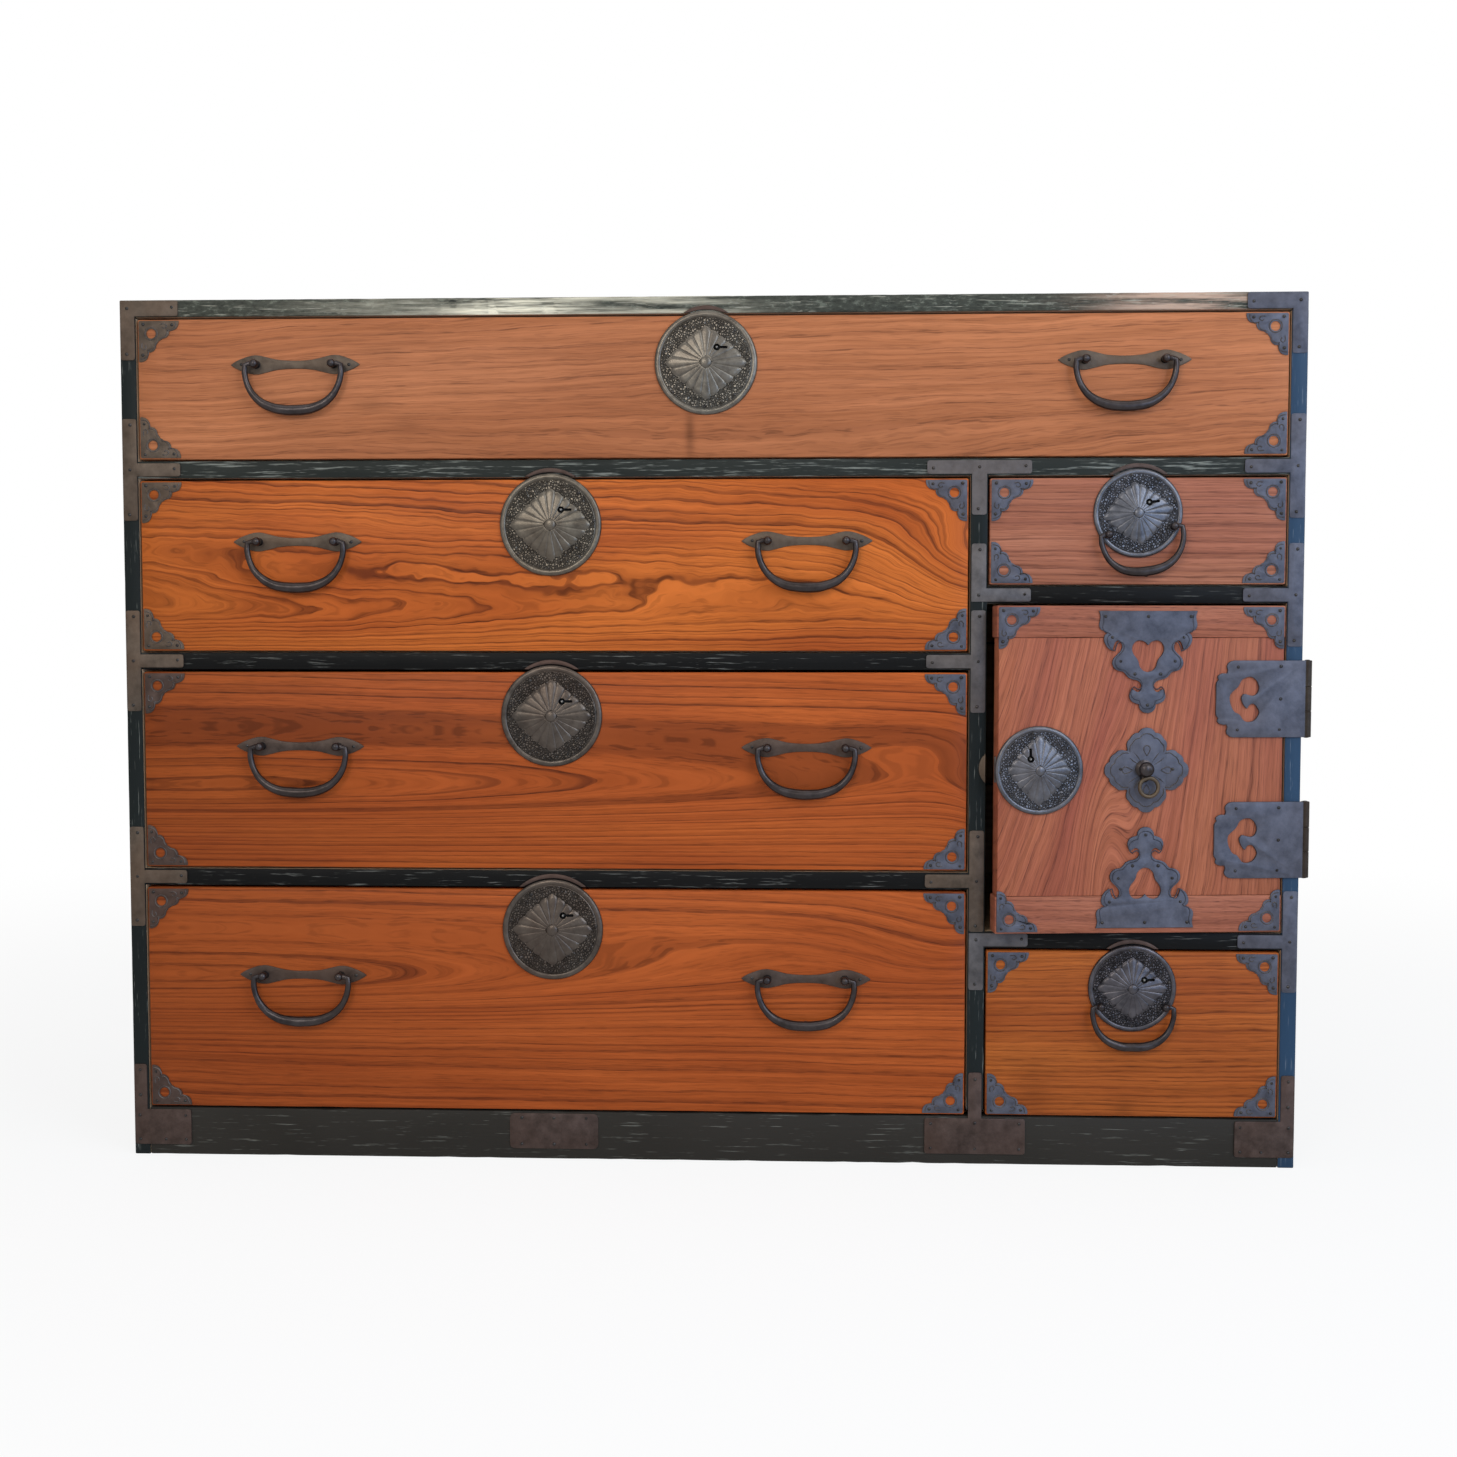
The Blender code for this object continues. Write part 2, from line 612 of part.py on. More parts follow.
def handle_loop():
    """The waisted, pointed plate behind a bail, about its middle."""
    upper = [
        (x * HANDLE_PLATE_LENGTH / 2, z * HANDLE_PLATE_HEIGHT / 2) for x, z in HANDLE_EDGE_SHARES
    ]
    right = upper + [(x, -z) for x, z in reversed(upper)]
    return right + [(-x, z) for x, z in reversed(right)][1:-1]


def add_posts(piece, name, centre, turn, spacing, foot_y):
    """Two pierced posts that stand out of a plate; turn tilts their line about the front's normal."""
    across = Vector((cos(turn), 0, sin(turn)))
    centre = Vector((centre[0], 0, centre[1]))
    rods = []
    holes = []
    for side in (-1, 1):
        place = centre + across * side * spacing / 2
        head_y = FACE_Y - BAIL_STANDOFF - POST_RADIUS
        rods.append(((place.x, foot_y, place.z), (place.x, head_y, place.z)))
        axis = place + Vector((0, FACE_Y - BAIL_STANDOFF, 0))
        reach = across * (POST_RADIUS + CUT_OVERRUN)
        holes.append((axis - reach, axis + reach))
    posts = rod_mesh(name + "_posts", rods, POST_RADIUS, POST_SIDES)
    boolean(piece, new_tool(name + "_posts", posts, piece), "UNION")
    eyes = rod_mesh(name + "_eyes", holes, BAIL_HOLE_RADIUS, POST_SIDES)
    boolean(piece, new_tool(name + "_eyes", eyes, piece), "DIFFERENCE")


def make_bail(name, centre, turn, spacing, half_width, drop, wire_radius):
    """A bail of forged rod, its ends turned in through the posts' eyes and its middle the thickest."""
    inner = spacing / 2 - POST_RADIUS - BAIL_STUB
    outer = spacing / 2 + POST_RADIUS + SEAT_GAP
    elbow = half_width * BAIL_ELBOW_SHARE
    right = [
        (inner, 0, BAIL_ROOT_SHARE), (outer, 0, BAIL_ROOT_SHARE), (elbow, outer - elbow, BAIL_SIDE_SHARE),
    ]
    for step in range(BAIL_STEPS):
        angle = BAIL_FIRST_ANGLE + (pi / 2 - BAIL_FIRST_ANGLE) * step / BAIL_STEPS
        across = half_width * cos(angle) ** (2 / BAIL_POWER)
        down = drop * sin(angle) ** (2 / BAIL_POWER)
        swell = (BAIL_SWELL_SHARE - BAIL_SIDE_SHARE) * sin(angle) ** BAIL_SWELL_POWER
        right.append((across, -down, BAIL_SIDE_SHARE + swell))
    left = [(-x, z, radius) for x, z, radius in right]
    route = left + [(0, -drop, BAIL_SWELL_SHARE)] + right[::-1]

    curve = bpy.data.curves.new(name, "CURVE")
    curve.dimensions = "3D"
    curve.bevel_depth = wire_radius
    curve.bevel_resolution = BAIL_BEVEL_STEPS
    curve.use_fill_caps = True
    curve.materials.append(IRON)
    spline = curve.splines.new("POLY")
    spline.points.add(len(route) - 1)
    for point, (across, up, radius) in zip(spline.points, route):
        point.co = (across, 0, up, 1)
        point.radius = radius
    bail = bpy.data.objects.new(name, curve)
    bail.location = (centre[0], FACE_Y - BAIL_STANDOFF, centre[1])
    bail.rotation_euler = (0, -turn, 0)
    PARTS.objects.link(bail)
    return bail


# Locks

def lock_axes(centre, turn):
    """The frame of a lock: X across it, Z towards the edge that its bolt leaves by."""
    return Matrix.Translation((centre[0], FACE_Y, centre[1])) @ Matrix.Rotation(-turn, 4, "Y")


def keyhole_loop(radius, across_share, up_share):
    """A round hole with a slot running out of its side."""
    half = KEYHOLE_SLOT_HEIGHT / 2
    start = asin(half / KEYHOLE_RADIUS)
    centre = (across_share * radius, up_share * radius)
    loop = arc(centre, KEYHOLE_RADIUS, start, 2 * pi - start, KEYHOLE_STEPS)
    tip = centre[0] + KEYHOLE_SLOT
    return loop + [(tip, centre[1] - half), (tip, centre[1] + half)]


def make_lock_plate(name, front, centre, turn, radius, keyhole):
    """A domed round plate on a front, pierced by its keyhole, which runs on into the bolt's channel."""
    profile = bmesh.new()
    corners = [
        profile.verts.new((x * radius, 0, z * LOCK_DOME)) for x, z in LOCK_PROFILE_SHARES
    ]
    for upper, lower in zip(corners, corners[1:]):
        profile.edges.new((upper, lower))
    mesh = bpy.data.meshes.new(name)
    profile.to_mesh(mesh)
    profile.free()
    plate = new_object(name, mesh, [IRON], (centre[0], FACE_Y - SEAT_GAP, centre[1]), (pi / 2, -turn, 0))
    plate.parent = front.parent
    plate.matrix_parent_inverse = front.matrix_parent_inverse
    turned = plate.modifiers.new("turned", "SCREW")
    turned.steps = LOCK_SIDES
    turned.render_steps = LOCK_SIDES
    turned.use_merge_vertices = True
    turned.merge_threshold = WELD_DISTANCE
    turned.use_smooth_shade = True
    through = LOCK_DOME + 2 * CUT_OVERRUN
    hole = new_tool(
        name + "_keyhole", sheet_mesh(name + "_keyhole", [keyhole], through), plate,
        (centre[0], FACE_Y + CUT_OVERRUN, centre[1]), (0, -turn, 0),
    )
    boolean(plate, hole, "DIFFERENCE")
    return plate


def make_bolt(name, front, centre, turn, drop, board_thick):
    """The flat bolt in its channel: a broad head, and a leg that stands on the channel's floor."""
    half = BOLT_WIDTH / 2
    leg = BOLT_LEG_WIDTH - half
    loop = [
        (-half, 0), (half, 0), (half, -BOLT_HEAD_HEIGHT), (leg, -BOLT_HEAD_HEIGHT),
        (leg, -BOLT_LENGTH), (-half, -BOLT_LENGTH),
    ]
    back = board_thick / 2 + BOLT_THICK / 2
    place = lock_axes(centre, turn) @ Vector((0, back, drop - BOLT_HEAD_GAP))
    bolt = new_object(name, sheet_mesh(name, [loop], BOLT_THICK), [IRON], place, (0, -turn, 0))
    bolt.parent = front.parent
    bolt.matrix_parent_inverse = front.matrix_parent_inverse
    return bolt


def bolt_space(name, like, centre, turn, board_thick, low, high):
    """A cutter round the bolt, between two heights in the lock's frame."""
    side = BOLT_WIDTH / 2 + BOLT_CLEARANCE
    reach = BOLT_THICK / 2 + BOLT_CLEARANCE
    middle = board_thick / 2
    mesh = box_mesh(name, ((-side, middle - reach, low), (side, middle + reach, high)))
    origin = (centre[0], FACE_Y, centre[1])
    return new_tool(name, mesh, like, origin, (0, -turn, 0))


def fit_lock(name, front, centre, turn, plate_turn, drop, radius, shares, board_thick):
    """Lock plate, keyhole, channel and bolt of a front; turn points the bolt, plate_turn tilts the plate."""
    keyhole = keyhole_loop(radius, *shares)
    plate = make_lock_plate(name + "_lock_plate", front, centre, plate_turn, radius, keyhole)
    floor = drop - BOLT_HEAD_GAP - BOLT_LENGTH - SEAT_GAP
    channel = bolt_space(name + "_channel", front, centre, turn, board_thick, floor, drop + CUT_OVERRUN)
    boolean(front, channel, "DIFFERENCE")
    depth = board_thick / 2
    entry = new_tool(
        name + "_entry", sheet_mesh(name + "_entry", [keyhole], depth + CUT_OVERRUN), front,
        (centre[0], FACE_Y + depth, centre[1]), (0, -plate_turn, 0),
    )
    boolean(front, entry, "DIFFERENCE")
    make_bolt(name + "_lock_bolt", front, centre, turn, drop, board_thick)
    return plate


def keeper_loop(edge, radius, end_width, rise):
    """The crescent over a lock plate, in the lock's frame, on the board whose edge lies that far off.

    Its inner side clears the lock plate, where that reaches over the edge; its outer side is an arc of
    the given rise that runs on for the end width at either side.
    """
    base = edge + SEAT_GAP
    clear = radius + DISC_CLEARANCE
    inner_angle = acos(min(base / clear, 1))
    half_width = clear * sin(inner_angle) + end_width
    outer_radius = (half_width ** 2 + rise ** 2) / (2 * rise)
    half_angle = asin(half_width / outer_radius)
    outer_centre = (0, base + rise - outer_radius)
    start = pi / 2 - half_angle
    outer = arc(outer_centre, outer_radius, start, pi - start, KEEPER_OUTER_STEPS)
    if inner_angle == 0:
        return outer
    return outer + arc((0, 0), clear, pi / 2 + inner_angle, pi / 2 - inner_angle, KEEPER_INNER_STEPS)


def fit_keeper(name, rail, front_y, centre, turn, drop, gap, throw, board_thick, radius, end_width, rise):
    """Fuse the crescent keeper to a rail, a gap away from the front, and cut the mortise for the bolt."""
    edge = drop + gap
    depth = throw - BOLT_HEAD_GAP - gap + MORTISE_CLEARANCE
    loop = keeper_loop(edge, radius, end_width, rise)
    keeper = new_tool(
        name + "_keeper", sheet_mesh(name + "_keeper", [loop], KEEPER_THICK), rail,
        (centre[0], front_y + PLATE_SINK, centre[1]), (0, -turn, 0),
    )
    boolean(rail, keeper, "UNION")
    mortise = bolt_space(
        name + "_mortise", rail, centre, turn, board_thick, edge - CUT_OVERRUN, edge + depth,
    )
    boolean(rail, mortise, "DIFFERENCE")


# Drawers

def make_drawer(name, left, right, floor, ceiling, rail, lock_drop, large, lock_turn=0, handles_apart=False):
    """One drawer: front with its ironwork, box, lock plate, bolt and bails.

    The handles of a large drawer are part of its front, or, where they are apart, pieces nailed onto it.
    """
    front_left = left + FRONT_SIDE_GAP
    front_right = right - FRONT_SIDE_GAP
    front_low = floor + FRONT_BOTTOM_GAP
    front_high = ceiling - FRONT_TOP_GAP
    front = board(
        name + "_front",
        (front_left, FACE_Y, front_low), (front_right, FACE_Y + FRONT_THICK, front_high),
        FRONT_WOOD, IRON,
    )
    centre_x = (left + right) / 2
    loops = four_corners(front_left, front_right, front_low, front_high)
    handles = []
    if large:
        handle_z = (front_low + front_high) / 2 + HANDLE_RISE
        for handle_x in (front_left + HANDLE_INSET, front_right - HANDLE_INSET):
            handles.append((handle_x, handle_z))
            if not handles_apart:
                loops.append(moved(handle_loop(), handle_x, handle_z))
    add_sheet_iron(front, name + "_plates", loops)

    box_low = (front_left, FACE_Y + FRONT_THICK + SEAT_GAP, floor + SEAT_GAP)
    box_high = (front_right, BACK_FACE_Y - BOX_BACK_GAP, front_high - BOX_HEADROOM)
    box = board(name + "_box", box_low, box_high, BOX_WOOD)
    hollow_low = Vector(box_low) + Vector((BOX_WALL, BOX_WALL, BOX_FLOOR))
    hollow_high = Vector(box_high) + Vector((-BOX_WALL, -BOX_WALL, CUT_OVERRUN))
    hollow = new_tool(name + "_hollow", box_mesh(name + "_hollow", (hollow_low, hollow_high)), box)
    boolean(box, hollow, "DIFFERENCE")

    centre = (centre_x, front_high - lock_drop)
    radius = LOCK_RADIUS if large else SMALL_LOCK_RADIUS
    shares = (KEYHOLE_ACROSS_SHARE, KEYHOLE_UP_SHARE)
    if not large:
        shares = (SMALL_KEYHOLE_ACROSS_SHARE, SMALL_KEYHOLE_UP_SHARE)
    plate = fit_lock(name, front, centre, 0, lock_turn, lock_drop, radius, shares, FRONT_THICK)
    rise = radius + KEEPER_MARGIN - lock_drop - FRONT_TOP_GAP
    fit_keeper(
        name, rail, FACE_Y + RAIL_SETBACK, centre, 0, lock_drop, FRONT_TOP_GAP, BOLT_THROW,
        FRONT_THICK, radius, KEEPER_END_WIDTH, rise,
    )

    if large:
        studs = []
        stud_y = FACE_Y - STUD_REACH
        for side, handle in zip(("left", "right"), handles):
            carrier = front
            foot_y = FACE_Y + PLATE_SINK
            if handles_apart:
                handle_name = name + "_handle_" + side
                handle_mesh = sheet_mesh(handle_name, [handle_loop()], PLATE_THICK)
                place = (handle[0], FACE_Y - SEAT_GAP, handle[1])
                carrier = new_object(handle_name, handle_mesh, [IRON], place)
                foot_y = FACE_Y - SEAT_GAP - PLATE_SINK
            add_posts(carrier, name + "_" + side, handle, 0, POST_SPACING, foot_y)
            stud_z = handle[1] - BAIL_DROP
            studs.append(((handle[0], FACE_Y + PLATE_SINK, stud_z), (handle[0], stud_y, stud_z)))
            make_bail(
                name + "_bail_" + side, handle, 0, POST_SPACING,
                BAIL_HALF_WIDTH, BAIL_DROP, BAIL_WIRE_RADIUS,
            )
        stud_mesh = rod_mesh(name + "_studs", studs, STUD_RADIUS, POST_SIDES)
        boolean(front, new_tool(name + "_studs", stud_mesh, front), "UNION")
    else:
        down = Vector((sin(lock_turn), -cos(lock_turn))) * SMALL_POST_DROP
        post_centre = (centre[0] + down.x, centre[1] + down.y)
        foot_y = FACE_Y - SEAT_GAP - PLATE_SINK
        add_posts(plate, name, post_centre, lock_turn, SMALL_POST_SPACING, foot_y)
        make_bail(
            name + "_bail", post_centre, lock_turn, SMALL_POST_SPACING,
            SMALL_BAIL_HALF_WIDTH, SMALL_BAIL_DROP, SMALL_BAIL_WIRE_RADIUS,
        )


def make_drawers(rails):
    """The six drawers, each with the rail over it that its bolt enters."""
    left = -INNER_X
    make_drawer(
        "top_drawer", left, INNER_X, TOP_SHELF_UNDER + BOARD_THICK, TOP_BOARD_UNDER,
        rails["top_board"], TOP_LOCK_DROP, True, handles_apart=True,
    )
    make_drawer(
        "upper_left_drawer", left, DIVIDER_LEFT, LEFT_UPPER_UNDER + BOARD_THICK, TOP_SHELF_UNDER,
        rails["top_shelf"], UPPER_LEFT_LOCK_DROP, True,
    )
    make_drawer(
        "middle_left_drawer", left, DIVIDER_LEFT, LEFT_LOWER_UNDER + BOARD_THICK, LEFT_UPPER_UNDER,
        rails["left_upper_shelf"], MIDDLE_LEFT_LOCK_DROP, True,
    )
    make_drawer(
        "bottom_left_drawer", left, DIVIDER_LEFT, BASE_HEIGHT, LEFT_LOWER_UNDER,
        rails["left_lower_shelf"], BOTTOM_LEFT_LOCK_DROP, True,
    )
    make_drawer(
        "upper_right_drawer", DIVIDER_RIGHT, INNER_X, RIGHT_UPPER_UNDER + BOARD_THICK, TOP_SHELF_UNDER,
        rails["top_shelf"], UPPER_RIGHT_LOCK_DROP, False, UPPER_RIGHT_LOCK_TURN,
    )
    make_drawer(
        "bottom_right_drawer", DIVIDER_RIGHT, INNER_X, BASE_HEIGHT, RIGHT_LOWER_UNDER,
        rails["right_lower_shelf"], BOTTOM_RIGHT_LOCK_DROP, False,
    )


# Door

DOOR_LEFT = DIVIDER_RIGHT + DOOR_LEFT_GAP
DOOR_RIGHT = INNER_X - DOOR_RIGHT_GAP
DOOR_LOW = RIGHT_LOWER_UNDER + BOARD_THICK + DOOR_BOTTOM_GAP
DOOR_HIGH = RIGHT_UPPER_UNDER - DOOR_TOP_GAP
DOOR_MIDDLE_Z = (DOOR_LOW + DOOR_HIGH) / 2
ORNAMENT_LENGTH = ORNAMENT_LENGTH_SHARE * (DOOR_HIGH - DOOR_LOW)
HINGE_OFFSET = HINGE_OFFSET_SHARE * (DOOR_HIGH - DOOR_LOW)
HINGE_HEIGHT = HINGE_HEIGHT_SHARE * (DOOR_HIGH - DOOR_LOW)
DOOR_AXIS_X = (DOOR_LEFT + DOOR_RIGHT) / 2 + DOOR_AXIS_OFFSET
PIN_X = OUTER_X + BARREL_SIDE_GAP + BARREL_RADIUS
PIN_Y = FACE_Y + BARREL_SETBACK


def make_pivot():
    """The empty on the hinges' pin that carries the door, turned to where it stands ajar."""
    pivot = bpy.data.objects.new("door_pivot", None)
    pivot.location = (PIN_X, PIN_Y, DOOR_MIDDLE_Z)
    pivot.rotation_euler = (0, 0, DOOR_AJAR)
    PARTS.objects.link(pivot)
    return pivot


def hang(piece, pivot):
    """Hang a piece that was placed as if the door were shut on the door's pivot."""
    piece.parent = pivot
    piece.matrix_parent_inverse = Matrix.Translation(-pivot.location)
    return piece


def make_door_panel(pivot):
    """The upright board of the door and the two ends that are tongued across it."""
    board_low = DOOR_LOW + BOTTOM_END_HEIGHT
    board_high = DOOR_HIGH - TOP_END_HEIGHT
    panel = hang(board(
        "door_board",
        (DOOR_LEFT, FACE_Y + RAIL_SETBACK, board_low + SEAT_GAP),
        (DOOR_RIGHT, FACE_Y + DOOR_THICK, board_high - SEAT_GAP),
        FRONT_WOOD, IRON,
    ), pivot)
    near = FACE_Y + (DOOR_THICK - TONGUE_THICK) / 2
    far = near + TONGUE_THICK
    reach = TONGUE_LENGTH - SEAT_GAP
    tongue = box_mesh("door_tongues", (
        (DOOR_LEFT, near, board_low - reach), (DOOR_RIGHT, far, board_high + reach),
    ))
    wood_only = new_tool("door_tongues", tongue, panel)
    for polygon in wood_only.data.polygons:
        polygon.material_index = 0
    boolean(panel, wood_only, "UNION")

    ends = {}
    for name, low, high, joint, inward in (
        ("door_top_end", board_high, DOOR_HIGH, board_high, 1),
        ("door_bottom_end", DOOR_LOW, board_low, board_low, -1),
    ):
        end = hang(board(
            name, (DOOR_LEFT, FACE_Y, low), (DOOR_RIGHT, FACE_Y + DOOR_THICK, high), FRONT_WOOD, IRON,
        ), pivot)
        mouth = sorted((joint - inward * CUT_OVERRUN, joint + inward * TONGUE_LENGTH))
        groove = box_mesh(name + "_groove", (
            (DOOR_LEFT - CUT_OVERRUN, near - SEAT_GAP, mouth[0]),
            (DOOR_RIGHT + CUT_OVERRUN, far + SEAT_GAP, mouth[1]),
        ))
        boolean(end, new_tool(name + "_groove", groove, end), "DIFFERENCE")
        ends[name] = end
    corners = four_corners(DOOR_LEFT, DOOR_RIGHT, DOOR_LOW, DOOR_HIGH)
    upper = [loop for loop in corners if loop[0][1] > DOOR_MIDDLE_Z]
    lower = [loop for loop in corners if loop[0][1] < DOOR_MIDDLE_Z]
    add_sheet_iron(ends["door_top_end"], "door_top_corners", upper)
    add_sheet_iron(ends["door_bottom_end"], "door_bottom_corners", lower)
    return panel


def make_door_ornaments(pivot):
    """The pierced plates nailed over the joints of the door's board and its ends."""
    right = [(x * ORNAMENT_HALF_WIDTH, -z * ORNAMENT_LENGTH) for x, z in ORNAMENT_EDGE_SHARES]
    edge = right + [(-x, z) for x, z in right[-2::-1]]
    right = [(x * ORNAMENT_HALF_WIDTH, -z * ORNAMENT_LENGTH) for x, z in ORNAMENT_HOLE_SHARES]
    hole = right + [(-x, z) for x, z in right[-2:0:-1]]
    for name, up, flip in (
        ("door_ornament_upper", DOOR_HIGH - ORNAMENT_MARGIN, 1),
        ("door_ornament_lower", DOOR_LOW + ORNAMENT_MARGIN, -1),
    ):
        loops = [moved(edge, 0, 0, 1, flip), moved(hole, 0, 0, 1, flip)]
        mesh = sheet_mesh(name, loops, PLATE_THICK)
        hang(new_object(name, mesh, [IRON], (DOOR_AXIS_X, FACE_Y - SEAT_GAP, up)), pivot)


def make_rosette(pivot):
    """The four-petalled plate with its knob, and the ring that hangs in the knob's lug."""
    half_petal = [(x * ROSETTE_RADIUS, z * ROSETTE_RADIUS) for x, z in PETAL_EDGE_SHARES]
    eighth = half_petal + [(z, x) for x, z in half_petal[-2::-1]]
    quarter = [Vector(point) for point in eighth[:-1]]
    loop = []
    for turn in range(4):
        spin = Matrix.Rotation(-turn * pi / 2, 2)
        loop += [tuple(spin @ point) for point in quarter]
    origin = Vector((DOOR_AXIS_X, FACE_Y - SEAT_GAP, DOOR_MIDDLE_Z))
    plate = hang(new_object(
        "door_rosette", sheet_mesh("door_rosette", [loop], PLATE_THICK), [IRON], origin,
    ), pivot)

    stem = rod_mesh(
        "knob_stem", [((0, -PLATE_SINK, 0), (0, -KNOB_STANDOFF, 0))], KNOB_RADIUS / 2, BARREL_SIDES,
    )
    boolean(plate, new_tool("knob_stem", stem, plate, origin), "UNION")
    ball = bmesh.new()
    place = Matrix.Translation((0, -KNOB_STANDOFF, 0))
    bmesh.ops.create_uvsphere(
        ball, u_segments=KNOB_SEGMENTS, v_segments=KNOB_RINGS, radius=KNOB_RADIUS, matrix=place,
    )
    boolean(plate, new_tool("knob", mesh_of(ball, "knob"), plate, origin), "UNION")
    half_lug = LUG_LENGTH / 2
    ends = ((-half_lug, -KNOB_STANDOFF, -LUG_DROP), (half_lug, -KNOB_STANDOFF, -LUG_DROP))
    lug = rod_mesh("knob_lug", [ends], LUG_RADIUS, BARREL_SIDES)
    boolean(plate, new_tool("knob_lug", lug, plate, origin), "UNION")
    reach = half_lug + CUT_OVERRUN + KNOB_RADIUS
    ends = ((-reach, -KNOB_STANDOFF, -LUG_DROP), (reach, -KNOB_STANDOFF, -LUG_DROP))
    eye = rod_mesh("ring_eye", [ends], RING_HOLE_RADIUS, BARREL_SIDES)
    boolean(plate, new_tool("ring_eye", eye, plate, origin), "DIFFERENCE")

    bpy.ops.mesh.primitive_torus_add(
        major_radius=RING_RADIUS, minor_radius=RING_WIRE_RADIUS,
        major_segments=RING_STEPS, minor_segments=RING_SIDES,
    )
    ring = bpy.context.active_object
    for holder in list(ring.users_collection):
        holder.objects.unlink(ring)
    PARTS.objects.link(ring)
    ring.name = "door_ring"
    ring.data.materials.append(IRON)
    ring.data.transform(Matrix.Translation((0, 0, -RING_RADIUS)) @ Matrix.Rotation(pi / 2, 4, "X"))
    ring.location = origin + Vector((0, -KNOB_STANDOFF, -LUG_DROP))
    ring.data.shade_smooth()
    hang(ring, pivot)


def make_hinge(name, middle_z, pivot):
    """A strap hinge: pierced door leaf with two knuckles, and a case leaf with the third and the pin."""
    half = HINGE_HEIGHT / 2
    upper = [(-x * HINGE_LENGTH, z * half) for x, z in HINGE_EDGE_SHARES]
    edge = upper + [(x, -z) for x, z in reversed(upper)]
    hole = [(-x * HINGE_LENGTH, z * half) for x, z in HINGE_HOLE_SHARES]
    leaf = hang(new_object(
        name + "_door_leaf", sheet_mesh(name + "_door_leaf", [edge, hole], HINGE_PLATE_THICK), [IRON],
        (PIN_X, FACE_Y - SEAT_GAP, middle_z),
    ), pivot)
    knuckle = HINGE_HEIGHT * KNUCKLE_SHARE
    pin_low = middle_z - half
    pin_high = middle_z + half
    notch = half - knuckle
    clear = BARREL_RADIUS + SEAT_GAP
    low = (PIN_X - clear, PIN_Y - clear, middle_z - notch - SEAT_GAP)
    high = (PIN_X + clear, PIN_Y + clear, middle_z + notch + SEAT_GAP)
    room = new_tool(name + "_room", box_mesh(name + "_room", (low, high)), leaf)
    barrel = rod_mesh(
        name + "_barrel", [((PIN_X, PIN_Y, pin_low), (PIN_X, PIN_Y, pin_high))],
        BARREL_RADIUS, BARREL_SIDES,
    )
    boolean(leaf, new_tool(name + "_barrel", barrel, leaf), "UNION")
    boolean(leaf, room, "DIFFERENCE")
    overrun = CUT_OVERRUN + PIN_HEAD_HEIGHT
    bore_ends = ((PIN_X, PIN_Y, pin_low - overrun), (PIN_X, PIN_Y, pin_high + overrun))
    bore = rod_mesh(name + "_bore", [bore_ends], PIN_BORE_RADIUS, BARREL_SIDES)
    boolean(leaf, new_tool(name + "_bore", bore, leaf), "DIFFERENCE")

    plate_x = OUTER_X + SEAT_GAP
    plate_end = FACE_Y + CASE_LEAF_LENGTH
    case_leaf = board(
        name + "_case_leaf",
        (plate_x, PIN_Y + clear + SEAT_GAP, pin_low), (plate_x + CASE_LEAF_THICK, plate_end, pin_high),
        IRON,
    )
    tongue = box_mesh(name + "_tongue", (
        (plate_x, PIN_Y, middle_z - notch + SEAT_GAP),
        (plate_x + CASE_LEAF_THICK, plate_end - CUT_OVERRUN, middle_z + notch - SEAT_GAP),
    ))
    boolean(case_leaf, new_tool(name + "_tongue", tongue, case_leaf), "UNION")
    middle_ends = ((PIN_X, PIN_Y, middle_z - notch + SEAT_GAP), (PIN_X, PIN_Y, middle_z + notch - SEAT_GAP))
    middle = rod_mesh(name + "_middle_knuckle", [middle_ends], BARREL_RADIUS, BARREL_SIDES)
    boolean(case_leaf, new_tool(name + "_middle_knuckle", middle, case_leaf), "UNION")
    pin_ends = ((PIN_X, PIN_Y, pin_low - PIN_HEAD_HEIGHT), (PIN_X, PIN_Y, pin_high + PIN_HEAD_HEIGHT))
    pin = rod_mesh(name + "_pin", [pin_ends], PIN_RADIUS, BARREL_SIDES)
    boolean(case_leaf, new_tool(name + "_pin", pin, case_leaf), "UNION")


def make_door(rails):
    """The door with its lock, rosette, ornaments and hinges."""
    pivot = make_pivot()
    panel = make_door_panel(pivot)
    make_door_ornaments(pivot)
    make_rosette(pivot)
    centre = (DOOR_LEFT + DOOR_LOCK_DROP, DOOR_MIDDLE_Z)
    turn = pi / 2
    fit_lock(
        "door", panel, centre, turn, turn, DOOR_LOCK_DROP, SMALL_LOCK_RADIUS,
        (SMALL_KEYHOLE_ACROSS_SHARE, SMALL_KEYHOLE_UP_SHARE), DOOR_THICK,
    )
    fit_keeper(
        "door", rails["divider_board"], FACE_Y, centre, turn, DOOR_LOCK_DROP, DOOR_LEFT_GAP,
        DOOR_BOLT_THROW, DOOR_THICK, SMALL_LOCK_RADIUS, DOOR_KEEPER_HALF_WIDTH, DOOR_KEEPER_RISE,
    )
    make_hinge("upper_hinge", DOOR_MIDDLE_Z + HINGE_OFFSET, pivot)
    make_hinge("lower_hinge", DOOR_MIDDLE_Z - HINGE_OFFSET, pivot)


case_rails = make_case()
make_drawers(case_rails)
make_door(case_rails)
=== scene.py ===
"""Clothing tansu: finishes, ironwork and light for the low Japanese chest whose frame is already made."""

from math import acos, asin, cos, pi, radians, sin

import bmesh
import bpy
from mathutils import Matrix, Vector, noise


